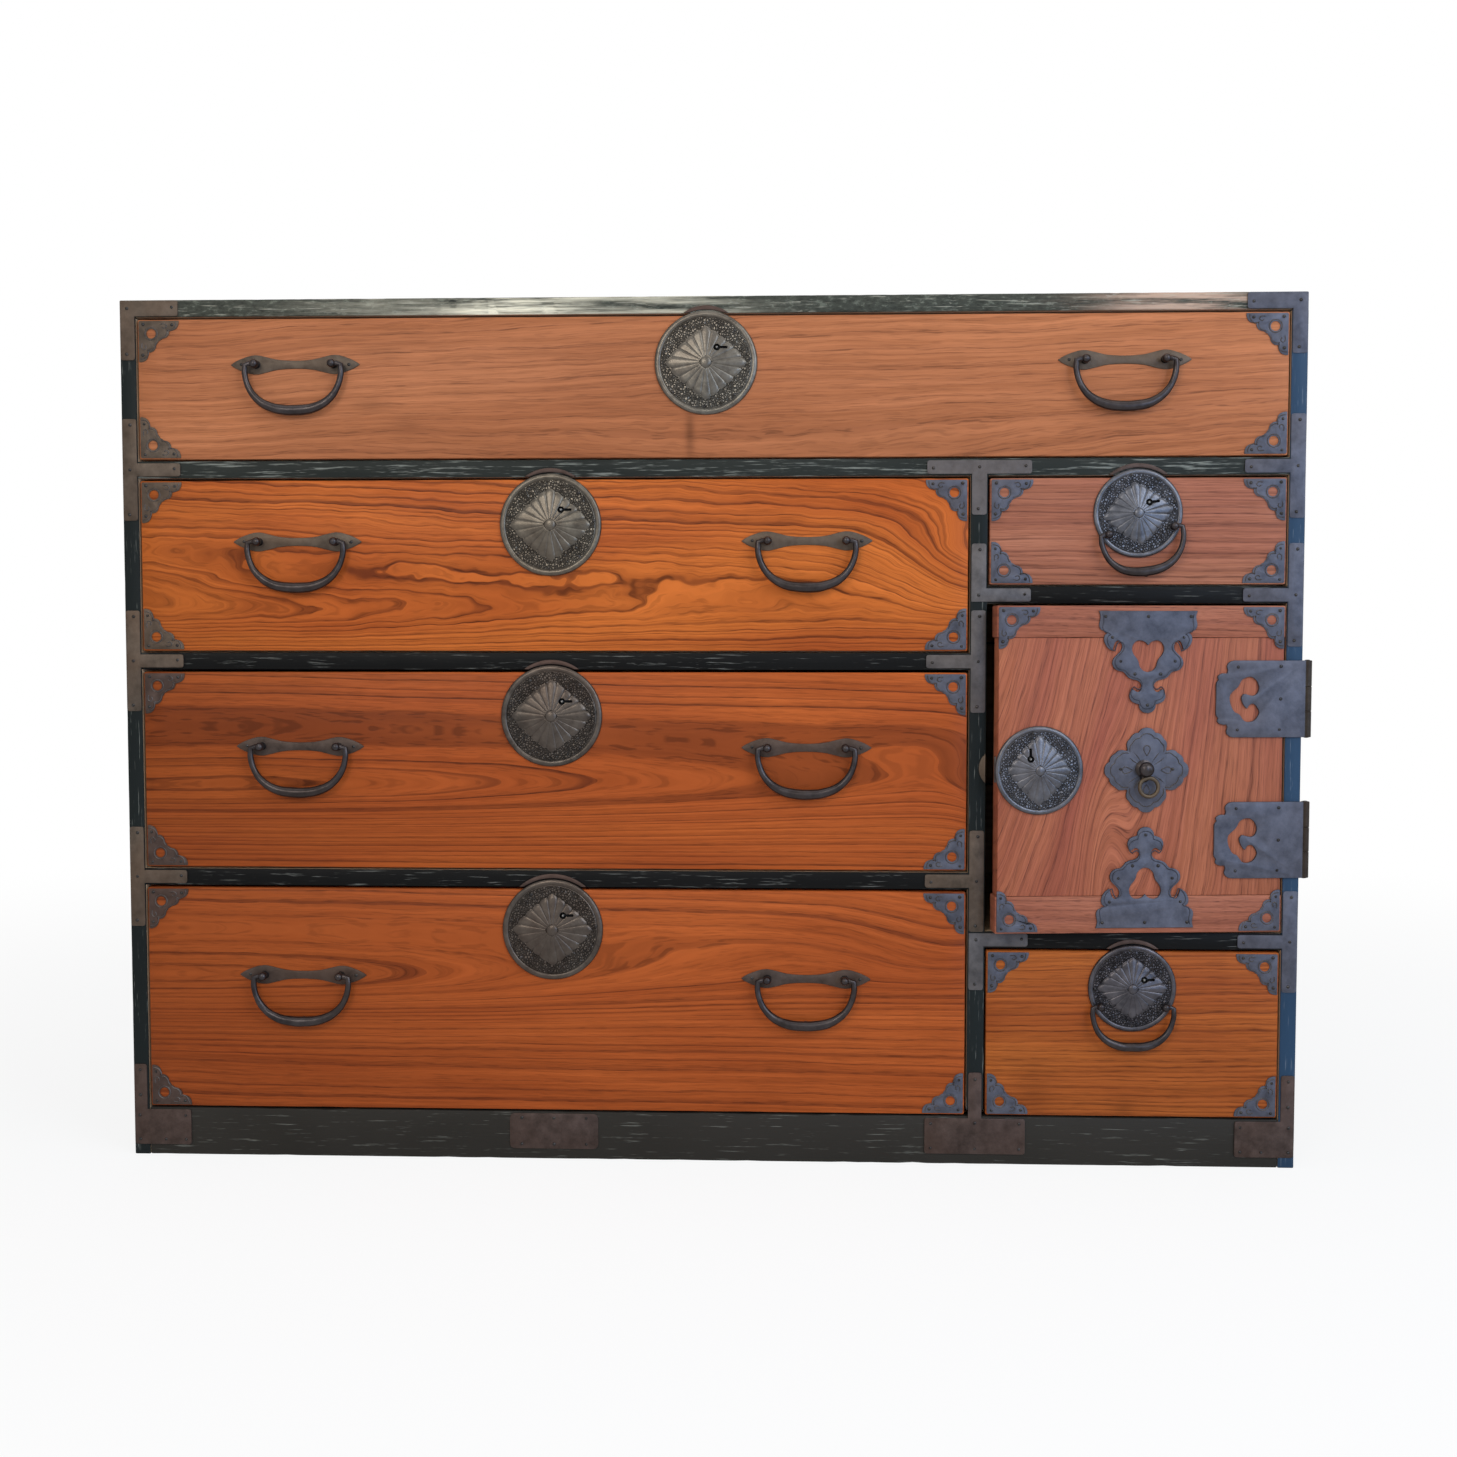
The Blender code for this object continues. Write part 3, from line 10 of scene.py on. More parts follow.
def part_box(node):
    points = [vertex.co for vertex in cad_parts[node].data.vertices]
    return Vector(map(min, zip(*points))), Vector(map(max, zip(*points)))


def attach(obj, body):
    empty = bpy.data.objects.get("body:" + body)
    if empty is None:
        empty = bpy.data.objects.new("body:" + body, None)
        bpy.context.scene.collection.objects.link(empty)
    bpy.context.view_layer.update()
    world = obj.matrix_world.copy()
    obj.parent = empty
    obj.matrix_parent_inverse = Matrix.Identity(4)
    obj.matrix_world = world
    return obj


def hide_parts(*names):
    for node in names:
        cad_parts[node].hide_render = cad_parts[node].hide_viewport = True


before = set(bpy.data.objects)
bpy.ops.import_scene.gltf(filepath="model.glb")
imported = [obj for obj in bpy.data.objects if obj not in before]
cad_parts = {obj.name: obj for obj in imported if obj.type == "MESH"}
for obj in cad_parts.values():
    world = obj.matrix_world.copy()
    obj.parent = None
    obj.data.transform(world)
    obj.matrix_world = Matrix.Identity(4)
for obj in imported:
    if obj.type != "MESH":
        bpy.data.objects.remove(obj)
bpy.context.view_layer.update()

# The room: a pale floor that fades into white, and soft daylight from the front.
# The chest is seen from straight ahead, a little above its middle and a little right of it.

scene = bpy.context.scene
face_y = -0.20395


def set_up(name, data):
    """An object with its data, put in the picture."""
    item = bpy.data.objects.new(name, data)
    scene.collection.objects.link(item)
    return item


def add_node(tree, kind, inputs=None, **settings):
    """A shader node, its inputs linked to sockets or set to plain values."""
    made = tree.nodes.new("ShaderNode" + kind)
    for name, value in settings.items():
        setattr(made, name, value)
    for socket, value in (inputs or {}).items():
        if isinstance(value, bpy.types.NodeSocket):
            tree.links.new(value, made.inputs[socket])
        else:
            made.inputs[socket].default_value = value
    return made


def add_math(tree, operation, *values):
    """One step of arithmetic on sockets or plain values."""
    return add_node(tree, "Math", dict(enumerate(values)), operation=operation).outputs["Value"]


def add_vector(tree, operation, *values, gives="Vector"):
    """One step of arithmetic on places."""
    return add_node(tree, "VectorMath", dict(enumerate(values)), operation=operation).outputs[gives]


def add_range(tree, value, least, most, start=0.0, end=1.0, **settings):
    """A value brought from its own range into another."""
    limits = {"Value": value, "From Min": start, "From Max": end, "To Min": least, "To Max": most}
    return add_node(tree, "MapRange", limits, **settings).outputs["Result"]


def white_when_seen(tree, lit, kind, share=None):
    """White for the camera and in reflections, by a share if one is given, and the lit shader for other light."""
    path = add_node(tree, "LightPath").outputs
    mirrored = add_math(tree, "MAXIMUM", path["Is Glossy Ray"], path["Is Transmission Ray"])
    seen = add_math(tree, "MAXIMUM", path["Is Camera Ray"], mirrored)
    if share is not None:
        seen = add_math(tree, "MULTIPLY", seen, share)
    white = add_node(tree, kind, {"Color": (1, 1, 1, 1), "Strength": 1.0}).outputs[0]
    return add_node(tree, "MixShader", {"Fac": seen, 1: lit, 2: white}).outputs["Shader"]


def new_finish(name):
    """An empty finish and its tree of nodes."""
    finish = bpy.data.materials.new(name)
    finish.use_nodes = True
    return finish, finish.node_tree


camera = set_up("front_view", bpy.data.cameras.new("front_view"))
camera.data.lens = 45
camera.data.sensor_width = 36
camera.location = (0.1007, face_y - 1.8222, 0.5454)
camera.rotation_euler = (radians(90 - 3.284), 0, radians(2.461))
scene.camera = camera
scene.view_settings.view_transform = "Standard"

scene.world = bpy.data.worlds.new("room_light")
scene.world.use_nodes = True
tree = scene.world.node_tree
tree.nodes.clear()
ambient = add_node(tree, "Background", {"Color": (0.93, 0.96, 1.0, 1), "Strength": 0.42}).outputs[0]
add_node(tree, "OutputWorld", {"Surface": white_when_seen(tree, ambient, "Background")})

floor_paint, tree = new_finish("pale_floor")
shader = tree.nodes["Principled BSDF"]
shader.inputs["Base Color"].default_value = (0.80, 0.80, 0.80, 1)
shader.inputs["Roughness"].default_value = 0.9
away = add_vector(tree, "LENGTH", add_node(tree, "TexCoord").outputs["Object"], gives="Value")
fade = add_range(tree, away, 0.86, 1.0, 0.7, 2.6, interpolation_type="SMOOTHSTEP")
surface = white_when_seen(tree, shader.outputs["BSDF"], "Emission", fade)
tree.links.new(surface, tree.nodes["Material Output"].inputs["Surface"])
floor_mesh = bpy.data.meshes.new("floor")
floor_mesh.from_pydata([(-9, -9, 0), (9, -9, 0), (9, 9, 0), (-9, 9, 0)], [], [(0, 1, 2, 3)])
floor_mesh.materials.append(floor_paint)
floor = set_up("floor", floor_mesh)

for name, place, aim, width, height, power, colour in (
    ("window_right", (1.9, -2.4, 1.9), (0.1, -0.2, 0.45), 1.4, 1.6, 38, (0.90, 0.95, 1.0)),
    ("window_left", (-0.7, -2.6, 1.45), (-0.1, -0.2, 0.45), 0.8, 0.7, 20, (1.0, 0.94, 0.85)),
    ("sky_far", (2.8, -1.5, 1.0), (0.0, -0.2, 0.5), 0.8, 1.6, 16, (0.35, 0.60, 1.0)),
    ("sky_right", (1.35, -2.4, 0.8), (0.5, -0.2, 0.45), 0.5, 1.4, 12, (0.30, 0.55, 1.0)),
    ("ceiling", (0, -0.4, 2.6), (0, -0.1, 0.4), 2.4, 1.6, 15, (1.0, 0.98, 0.95)),
):
    lamp = set_up(name, bpy.data.lights.new(name, "AREA"))
    lamp.data.shape = "RECTANGLE"
    lamp.data.size, lamp.data.size_y = width, height
    lamp.data.energy, lamp.data.color = power, colour
    lamp.location = place
    lamp.rotation_euler = (Vector(aim) - Vector(place)).to_track_quat("-Z", "Y").to_euler()

# Case boards: the black case is of softwood planks brushed with thin lacquer over the open grain.
# Their front edges are rubbed and chipped, most of all along the top, and the insides are left bare.
# Cream patches on the top board's front are part worn lacquer and part painted glare.


def add_ramp(tree, value, stops):
    """Colours, or greys given as plain numbers, laid along a value from 0 to 1."""
    ramp = add_node(tree, "ValToRGB", {"Fac": value})
    elements = ramp.color_ramp.elements
    while len(elements) < len(stops):
        elements.new(0.5)
    for element, (place, colour) in zip(elements, stops):
        element.position = place
        element.color = (*colour, 1) if isinstance(colour, tuple) else (colour, colour, colour, 1)
    return ramp.outputs["Color"]


def add_mix(tree, share, first, second, blend="MIX"):
    """Two colours mixed by a share."""
    first, second = (c if isinstance(c, bpy.types.NodeSocket) else (*c, 1) for c in (first, second))
    values = {0: share, 6: first, 7: second}
    return add_node(tree, "Mix", values, data_type="RGBA", blend_type=blend).outputs[2]


def add_grain(tree, stretch, scale=1.0, detail=4.0, roughness=0.6, distortion=0.0, offset=(0, 0, 0), place=None):
    """Noise stretched along each axis, in the piece's own space unless a place is given; gives back its value."""
    if place is None:
        place = add_node(tree, "TexCoord").outputs["Object"]
    mapping = add_node(tree, "Mapping", {"Vector": place, "Location": offset, "Scale": stretch})
    return add_node(tree, "TexNoise", {
        "Vector": mapping.outputs["Vector"], "Scale": scale, "Detail": detail,
        "Roughness": roughness, "Distortion": distortion,
    }).outputs["Fac"]


def add_swell(tree, place, centre, reach):
    """A share that is 1 at a centre and fades over a reach along each axis."""
    away = add_vector(tree, "DIVIDE", add_vector(tree, "SUBTRACT", place, centre), reach)
    square = add_vector(tree, "DOT_PRODUCT", away, away, gives="Value")
    return add_math(tree, "EXPONENT", add_math(tree, "MULTIPLY", square, -1.0))


def add_bump(tree, height, strength, distance, under=None):
    """A bump from a height, over another one if given."""
    values = {"Height": height, "Strength": strength, "Distance": distance}
    if under is not None:
        values["Normal"] = under
    return add_node(tree, "Bump", values).outputs["Normal"]


def dressed(finish, tint, rough, relief, specular=0.5, metallic=0.0):
    """The finish, its colour, its roughness (a value and two limits) and its relief wired to its shader."""
    tree = finish.node_tree
    shader = tree.nodes["Principled BSDF"]
    for socket, source in (("Base Color", tint), ("Roughness", add_range(tree, *rough)), ("Normal", relief)):
        tree.links.new(source, shader.inputs[socket])
    shader.inputs["Specular IOR Level"].default_value = specular
    shader.inputs["Metallic"].default_value = metallic
    return finish


def brushed_lacquer(name, stretch, colour, worn, speck, wear=0.5, rubbed=None, bare_and_glare_patches=(), specular=0.08):
    """Thin black lacquer on open-grained wood, with pale scratches.

    The front edge is rubbed to two greyer tones if they are given, and the patches lay on it bare wood and a cream
    tone that is part worn lacquer and part painted glare: each is its centre, its reach, its strength and its tone.
    """
    finish, tree = new_finish(name)
    grain = add_grain(tree, stretch, 1.0, 5.0, 0.65)
    cloud = add_grain(tree, (3, 3, 3), 2.0, 3.0, 0.5, 0.4)
    tint = add_mix(tree, cloud, colour, worn)
    if rubbed:
        chips = add_grain(tree, (110, 240, 240), 1.0, 5.0, 0.72, 0.3, (7, 2, 5))
        chips = add_ramp(tree, chips, ((0.34, 0.45), (0.47, 0.85), (0.56, 1.05), (0.64, 2.4)))
        pale = add_mix(tree, 0.9, add_mix(tree, cloud, *rubbed), chips, "MULTIPLY")
        place = add_node(tree, "TexCoord").outputs["Object"]
        inward = add_node(tree, "SeparateXYZ", {"Vector": place}).outputs["Y"]
        tint = add_mix(tree, add_range(tree, inward, 1.0, 0.0, face_y + 0.003, face_y + 0.022), tint, pale)
        streaks = add_ramp(tree, grain, ((0.38, 0), (0.62, 1)))
        # Patches of bare wood, and of cream that is part worn lacquer and part painted glare.
        for centre, reach, strength, tone in bare_and_glare_patches:
            near = add_math(tree, "MULTIPLY", add_swell(tree, place, centre, reach), strength)
            tint = add_mix(tree, add_math(tree, "MULTIPLY", near, streaks), tint, tone)
    scratch = add_grain(tree, tuple(3.1 * s for s in stretch), 1.0, 3.0, 0.7, 0.0, (3, 1, 2))
    limit = 0.64 - 0.07 * wear
    marks = add_ramp(tree, scratch, ((limit, 0), (limit + 0.09, 1)))
    tint = add_mix(tree, add_math(tree, "MULTIPLY", marks, 0.5), tint, speck)
    return dressed(finish, tint, (grain, 0.30, 0.62), add_bump(tree, grain, 0.55, 0.0006), specular)


def bare_wood(name, stretch, pale, dark):
    """Unfinished softwood with faint straight grain."""
    finish, tree = new_finish(name)
    rings = add_grain(tree, stretch, 1.0, 5.0, 0.6, 0.3)
    cloud = add_grain(tree, (4, 4, 4), 1.5, 3.0)
    tint = add_ramp(tree, rings, ((0.30, dark), (0.52, pale), (0.72, dark)))
    tint = add_mix(tree, add_math(tree, "MULTIPLY", cloud, 0.35), tint, dark)
    return dressed(finish, tint, (rings, 0.62, 0.85), add_bump(tree, rings, 0.4, 0.0005))


def shown(name, mesh, body, finishes, nodes=(), smooth=35):
    """Put a piece in the picture, riding on a body and standing for the nodes of the frame it hides."""
    mesh.name = name
    for finish in finishes:
        mesh.materials.append(finish)
    mesh.shade_smooth()
    mesh.set_sharp_from_angle(angle=radians(smooth))
    piece = set_up(name, mesh)
    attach(piece, body)
    if nodes:
        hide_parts(*nodes)


def case_board(name, board, finishes, node):
    """Put a board of the case in the picture."""
    shown(name, board, "case", finishes, [node] if node else ())


def to_mesh(shape):
    """A mesh of a finished shape, faces pointing out."""
    bmesh.ops.recalc_face_normals(shape, faces=shape.faces)
    mesh = bpy.data.meshes.new("piece")
    shape.to_mesh(mesh)
    shape.free()
    return mesh


def planed_board(low, high, edge=0.0008, step=0.014, wear=0.0, bare=()):
    """A board with rounded edges, cut into short lengths along its longest side so that wear can dent them.

    bare gives the directions whose faces take the second finish.
    """
    low, high = Vector(low), Vector(high)
    size, middle = high - low, (low + high) / 2
    long_way = max(range(3), key=lambda axis: size[axis])
    shape = bmesh.new()
    bmesh.ops.create_cube(shape, size=1, matrix=Matrix.Translation(middle) @ Matrix.Diagonal((*size, 1)))
    shape.normal_update()
    for face in shape.faces:
        if any(face.normal.dot(Vector(way)) > 0.9 for way in bare):
            face.material_index = 1
    bmesh.ops.bevel(
        shape, geom=list(shape.edges), offset=edge, segments=2, profile=0.5, affect="EDGES",
        clamp_overlap=True, material=0,
    )
    if wear:
        runs = [
            e for e in shape.edges
            if abs((e.verts[1].co - e.verts[0].co)[long_way]) > size[long_way] * 0.9
        ]
        bmesh.ops.subdivide_edges(shape, edges=runs, cuts=int(size[long_way] / step), use_grid_fill=True)
        for vert in shape.verts:
            if vert.co.y > low.y + 4 * edge:
                continue
            dent = noise.noise(vert.co * 55) + 0.6 * noise.noise(vert.co * 140)
            way = middle - vert.co
            way[long_way] = 0
            vert.co += way.normalized() * max(dent - 0.12, 0) * wear
    return to_mesh(shape)


def joined(meshes):
    """Several loose meshes as one."""
    shape = bmesh.new()
    for mesh in meshes:
        shape.from_mesh(mesh)
        bpy.data.meshes.remove(mesh)
    return to_mesh(shape)


def cut(mesh, tool, finishes):
    """A mesh with a tool's shape cut out of it, its finishes kept."""
    whole, knife = (set_up(name, shape) for name, shape in (("whole", mesh), ("knife", tool)))
    for item in (whole, knife):
        for finish in finishes:
            if finish.name not in item.data.materials:
                item.data.materials.append(finish)
    boolean = whole.modifiers.new("cut", "BOOLEAN")
    boolean.operation = "DIFFERENCE"
    boolean.solver = "EXACT"
    boolean.object = knife
    result = bpy.data.meshes.new_from_object(whole.evaluated_get(bpy.context.evaluated_depsgraph_get()))
    for item in (whole, knife):
        old = item.data
        bpy.data.objects.remove(item)
        bpy.data.meshes.remove(old)
    return result


def bolt_room(name, inside=0):
    """The space in which the lock bolt of a drawer slides up."""
    spare, rise = 0.0005, 0.0085
    low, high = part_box(name + "_lock_bolt")
    room = planed_board(
        (low.x - spare, low.y - spare, low.z - spare), (high.x + spare, high.y + spare, high.z + rise), edge=0.0001,
    )
    for face in room.polygons:
        face.material_index = inside
    return room


along_x, along_z = (7, 160, 160), (160, 160, 7)
cream_wear_and_glare, bare_pink = (0.78, 0.72, 0.55), (0.44, 0.30, 0.22)
rail_lacquer = brushed_lacquer(
    "rail_lacquer", along_x, (0.002, 0.002, 0.002), (0.006, 0.006, 0.006), (0.20, 0.20, 0.18), 0.5,
)
scuffed_lacquer = brushed_lacquer(
    "scuffed_lacquer", along_x, (0.008, 0.010, 0.009), (0.028, 0.031, 0.027), (0.30, 0.31, 0.27), 1.3,
)
# The cream patches on this board's front are part worn lacquer and part a painted glare from the light at the upper
# left.
top_lacquer = brushed_lacquer(
    "top_lacquer", along_x, (0.008, 0.010, 0.010), (0.022, 0.025, 0.024), (0.42, 0.40, 0.32), 0.9,
    ((0.022, 0.024, 0.019), (0.072, 0.076, 0.060)), (
        ((-0.19, face_y, 0.860), (0.085, 0.02, 0.03), 1.5, cream_wear_and_glare),
        ((-0.03, face_y, 0.860), (0.06, 0.02, 0.03), 0.7, cream_wear_and_glare),
        ((-0.36, face_y, 0.858), (0.06, 0.02, 0.03), 0.25, cream_wear_and_glare),
        ((0.48, face_y, 0.860), (0.085, 0.02, 0.03), 1.5, bare_pink),
    ),
)
upright_lacquer = brushed_lacquer(
    "upright_lacquer", along_z, (0.005, 0.007, 0.007), (0.014, 0.018, 0.018), (0.26, 0.27, 0.24), 0.3,
)
# The right side's lacquer is tinted blue, a painted reflection of the cool light from the right.
lacquer_blue_reflection = brushed_lacquer(
    "lacquer_blue_reflection", along_z, (0.006, 0.022, 0.046), (0.014, 0.045, 0.092), (0.22, 0.25, 0.28), 0.3, specular=0.22,
)
base_lacquer = brushed_lacquer(
    "base_lacquer", along_x, (0.017, 0.015, 0.012), (0.034, 0.030, 0.025), (0.20, 0.20, 0.17), 0.35,
)
back_lacquer = brushed_lacquer(
    "back_lacquer", along_x, (0.020, 0.022, 0.020), (0.05, 0.05, 0.045), (0.16, 0.15, 0.13), 0.6,
)
bare_panel = bare_wood("bare_panel", (3, 55, 55), (0.50, 0.36, 0.22), (0.36, 0.24, 0.14))
bare_upright = bare_wood("bare_upright", (55, 55, 3), (0.48, 0.34, 0.21), (0.34, 0.23, 0.13))

rail_y = face_y + 0.0007
case_back = 0.22575
side_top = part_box("top_board")[0].z - 0.0003

for name, inner, outer, way, front_edge in (
    ("side_board_left", -0.574, -0.590, 1, upright_lacquer), ("side_board_right", 0.574, 0.590, -1, lacquer_blue_reflection),
):
    board = planed_board(
        (min(inner, outer), face_y, 0), (max(inner, outer), case_back, side_top),
        edge=0.0011, wear=0.0007, bare=[(way, 0, 0)],
    )
    for face in board.polygons:
        if face.normal.x * way < -0.9:
            face.material_index = 2
    case_board(name + "_shown", board, (front_edge, bare_upright, upright_lacquer), name)

divider_low, divider_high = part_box("divider_board")
case_board("divider_board_shown", planed_board(
    (0.2625, face_y, divider_low.z + 0.045), (0.2795, case_back, divider_high.z), wear=0.0004,
    bare=[(1, 0, 0), (-1, 0, 0)],
), (upright_lacquer, bare_upright), "divider_board")

low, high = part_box("top_board")
board = planed_board(
    (low.x, rail_y, low.z), (high.x, case_back, high.z), edge=0.0015, step=0.006, wear=0.0022, bare=[(0, 0, -1)],
)
board = cut(board, bolt_room("top_drawer", inside=1), (top_lacquer, bare_panel))
case_board("top_board_shown", board, (), "top_board")

for name, locked in (
    ("top_shelf", ("upper_left_drawer", "upper_right_drawer")), ("left_upper_shelf", ("middle_left_drawer",)),
    ("left_lower_shelf", ("bottom_left_drawer",)), ("right_upper_shelf", ()),
    ("right_lower_shelf", ("bottom_right_drawer",)),
):
    low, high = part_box(name)
    board = planed_board(
        (low.x, rail_y, low.z), (high.x, case_back, high.z), wear=0.0010, step=0.009, bare=[(0, 0, 1), (0, 0, -1)],
    )
    finishes = (scuffed_lacquer if name == "top_shelf" else rail_lacquer, bare_panel)
    for drawer in locked:
        board = cut(board, bolt_room(drawer, inside=1), finishes)
    case_board(name + "_shown", board, () if locked else finishes, name)

low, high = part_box("base_board")
rail_back = face_y + 0.018
case_board("base_rail_shown", planed_board(
    (-0.5737, rail_y, 0), (0.5737, rail_back, high.z), edge=0.0014, wear=0.0012, bare=[(0, 1, 0)],
), (base_lacquer, bare_panel), "base_board")
case_board("case_floor_shown", planed_board(
    (low.x, rail_back - 0.006, high.z - 0.0168), (high.x, high.y, high.z - 0.0002),
), (bare_panel,), "base_board")

low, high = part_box("back_board")
back_planks = 5
plank_height = (high.z - low.z) / back_planks
for plank in range(back_planks):
    case_board(f"back_plank_{plank}", planed_board(
        (low.x, low.y, low.z + plank_height * plank), (high.x, high.y, low.z + plank_height * (plank + 1)),
        edge=0.0012, bare=[(0, -1, 0)],
    ), (back_lacquer, bare_panel), "back_board" if plank == 0 else "")

# Ironwork on the case: flat straps of black sheet iron at each corner and joint, filed at the rims.
# Domed nails hold them; the left side has rubbed brown, and the right-hand iron is tinted blue as a painted reflection
# of the cool light.


def black_iron(name, dark, light, rust, rust_share=0.35, roughness=(0.42, 0.62), dents=0.5, metallic=0.55):
    """Forged sheet iron under old lacquer, mottled and finely pitted."""
    finish, tree = new_finish(name)
    mottle = add_grain(tree, (1, 1, 1), 85.0, 6.0, 0.65)
    cloud = add_grain(tree, (1, 1, 1), 9.0, 3.0, 0.5, 0.5, (2, 5, 1))
    pits = add_grain(tree, (1, 1, 1), 620.0, 3.0, 0.6)
    tint = add_ramp(tree, mottle, ((0.30, dark), (0.70, light)))
    brown = add_ramp(tree, cloud, ((0.40, 0), (0.66, 1)))
    tint = add_mix(tree, add_math(tree, "MULTIPLY", brown, rust_share), tint, rust)
    hammered = add_bump(tree, mottle, 0.5 * dents, 0.0012)
    relief = add_bump(tree, pits, 0.35 * dents, 0.0004, hammered)
    return dressed(finish, tint, (mottle, *roughness), relief, 0.15, metallic)


iron_brown = black_iron("iron_brown", (0.047, 0.036, 0.027), (0.105, 0.080, 0.062), (0.094, 0.058, 0.038), 0.55)
iron_grey = black_iron("iron_grey", (0.052, 0.049, 0.050), (0.112, 0.104, 0.104), (0.095, 0.072, 0.060), 0.35)
# Blue-tinted iron for the right-hand pieces: the blue is a painted reflection of the cool light from the right.
iron_blue_reflection = black_iron("iron_blue_reflection", (0.043, 0.046, 0.060), (0.094, 0.098, 0.124), (0.078, 0.066, 0.066), 0.25)
# Darker iron for the foot plates, the base plate and the lower left drawers' corner plates is painted shade, as less
# light falls low down; the keepers use it too.
iron_foot = black_iron("iron_foot", (0.034, 0.023, 0.019), (0.080, 0.055, 0.047), (0.072, 0.042, 0.032), 0.5)
# The nail heads are darker than the iron they hold: painted shade round each head.
nail_iron = black_iron(
    "nail_iron", (0.016, 0.015, 0.015), (0.050, 0.047, 0.045), (0.050, 0.035, 0.028), 0.3, (0.20, 0.34), 0.2, 0.7,
)


def ironwork(name, mesh, finish, body="case", nodes=(), smooth=25, turn=Matrix()):
    """Put a piece of iron in the picture, turned or moved to its place."""
    mesh.transform(turn)
    shown(name, mesh, body, (finish,), nodes, smooth)


def shift(x, y, z):
    """A move by so much across, inward and up."""
    return Matrix.Translation((x, y, z))


def eased(corners, steps=4):
    """A closed outline whose corners, given as (across, up, radius), are rounded where the radius isn't 0."""
    loop = []
    for index, (x, z, radius) in enumerate(corners):
        if not radius:
            loop.append((x, z))
            continue
        corner = Vector((x, z))
        start, end = (
            corner + (Vector(corners[other % len(corners)][:2]) - corner).normalized() * radius
            for other in (index - 1, index + 1)
        )
        for step in range(steps + 1):
            t = step / steps
            loop.append(tuple(start * (1 - t) ** 2 + corner * 2 * t * (1 - t) + end * t ** 2))
    return loop


def placed(loop, across, up, flip_across=1, flip_up=1):
    """An outline set at a place, mirrored first where a flip is -1."""
    return [(across + flip_across * x, up + flip_up * z) for x, z in loop]


def sheet_iron(loops, back, thick, rim=0.0003):
    """Sheet iron cut to closed outlines, standing upright with its back at a depth and its front rim filed."""
    curve = bpy.data.curves.new("outline", "CURVE")
    curve.dimensions = "2D"
    curve.fill_mode = "BOTH"
    curve.extrude = thick / 2
    for loop in loops:
        spline = curve.splines.new("POLY")
        spline.points.add(len(loop) - 1)
        for point, (across, up) in zip(spline.points, loop):
            point.co = (across, up, 0, 1)
        spline.use_cyclic_u = True
    holder = set_up("outline", curve)
    flat = bpy.data.meshes.new_from_object(holder.evaluated_get(bpy.context.evaluated_depsgraph_get()))
    bpy.data.objects.remove(holder)
    bpy.data.curves.remove(curve)
    shape = bmesh.new()
    shape.from_mesh(flat)
    bpy.data.meshes.remove(flat)
    bmesh.ops.remove_doubles(shape, verts=shape.verts, dist=0.00001)
    stand = shift(0, back - thick / 2, 0) @ Matrix.Rotation(pi / 2, 4, "X")
    bmesh.ops.transform(shape, matrix=stand, verts=shape.verts)
    bmesh.ops.dissolve_limit(shape, angle_limit=0.01, verts=shape.verts, edges=shape.edges)
    front = back - thick
    edges = [
        e for e in shape.edges
        if all(v.co.y < front + 0.00005 for v in e.verts) and e.calc_face_angle(0) > 1.0
    ]
    bmesh.ops.bevel(
        shape, geom=edges, offset=rim, segments=2, profile=0.5, affect="EDGES", clamp_overlap=True,
    )
    return to_mesh(shape)


def around(sides, start=0.0):
    """The angles of points set evenly round a circle."""
    return [start + 2 * pi * side / sides for side in range(sides)]


def skinned(solids, closed=False):
    """Solids skinned over rings of points; a ring of one point ends a solid in a tip."""
    shape = bmesh.new()
    for rings in solids:
        rows = [[shape.verts.new(point) for point in ring] for ring in rings]
        for row, after in zip(rows, rows[1:] + rows[:1] if closed else rows[1:]):
            for k, first in enumerate(row):
                second = row[(k + 1) % len(row)]
                if len(after) == 1:
                    shape.faces.new((first, second, after[0]))
                else:
                    shape.faces.new((first, second, after[(k + 1) % len(row)], after[k]))
        if not closed:
            for row in (rows[0], rows[-1]):
                if len(row) > 1:
                    shape.faces.new(row)
    return to_mesh(shape)


def nail_heads(places, radius=0.0016, rise=0.0011, sides=10):
    """Domed nail heads at (across, depth, up) places, their feet sunk a little."""
    heads = []
    for index, (x, y, z) in enumerate(places):
        size = radius * (1 + 0.12 * sin(index * 7.3))
        lean = 0.00025 * sin(index * 3.1)
        heads.append([
            [(x + size * reach * cos(a), y - height - lean * cos(a) * (reach < 0.9), z + size * reach * sin(a))
             for a in around(sides)]
            for reach, height in ((1.0, -0.0004), (0.95, 0.35 * rise), (0.62, 0.82 * rise))
        ] + [[(x, y - rise, z)]])
    return skinned(heads)


def nailed(name, places, body="case", turn=Matrix(), smooth=35):
    """Put domed nails in the picture as one piece, turned with what they hold."""
    ironwork(name, nail_heads(places), nail_iron, body, smooth=smooth, turn=turn)


strap_back = face_y + 0.0004
strap_thick = 0.0014
strap_front = strap_back - strap_thick
tip = 0.0028


def strap(right, up, left, down, arm, stem=0.0147):
    """A cross, tee or ell of strap about its middle; each run is a length, or 0 for none."""
    h, v = arm / 2, stem / 2
    loop = []
    for run, rise, x, z in ((right, up, 1, 1), (left, up, -1, 1), (left, down, -1, -1), (right, down, 1, -1)):
        quarter = [(x * run, z * h, tip)] if run else []
        if bool(run) == bool(rise):
            quarter.append((x * v, z * h, 0 if run else 0.0012))
        if rise:
            quarter.append((x * v, z * rise, tip))
        loop += quarter if x == z else quarter[::-1]
    return eased(loop)


def strap_nails(across, up, runs):
    """Nail places along the runs of a strap, near each end and at the middle."""
    right, rise, left, fall = runs
    offsets = (
        (right, right - 0.006, 0.001), (left, 0.006 - left, -0.001), (rise, 0.001, rise - 0.006),
        (fall, -0.001, 0.006 - fall), (True, 0, 0),
    )
    return [(across + x, strap_front, up + z) for run, x, z in offsets if run]


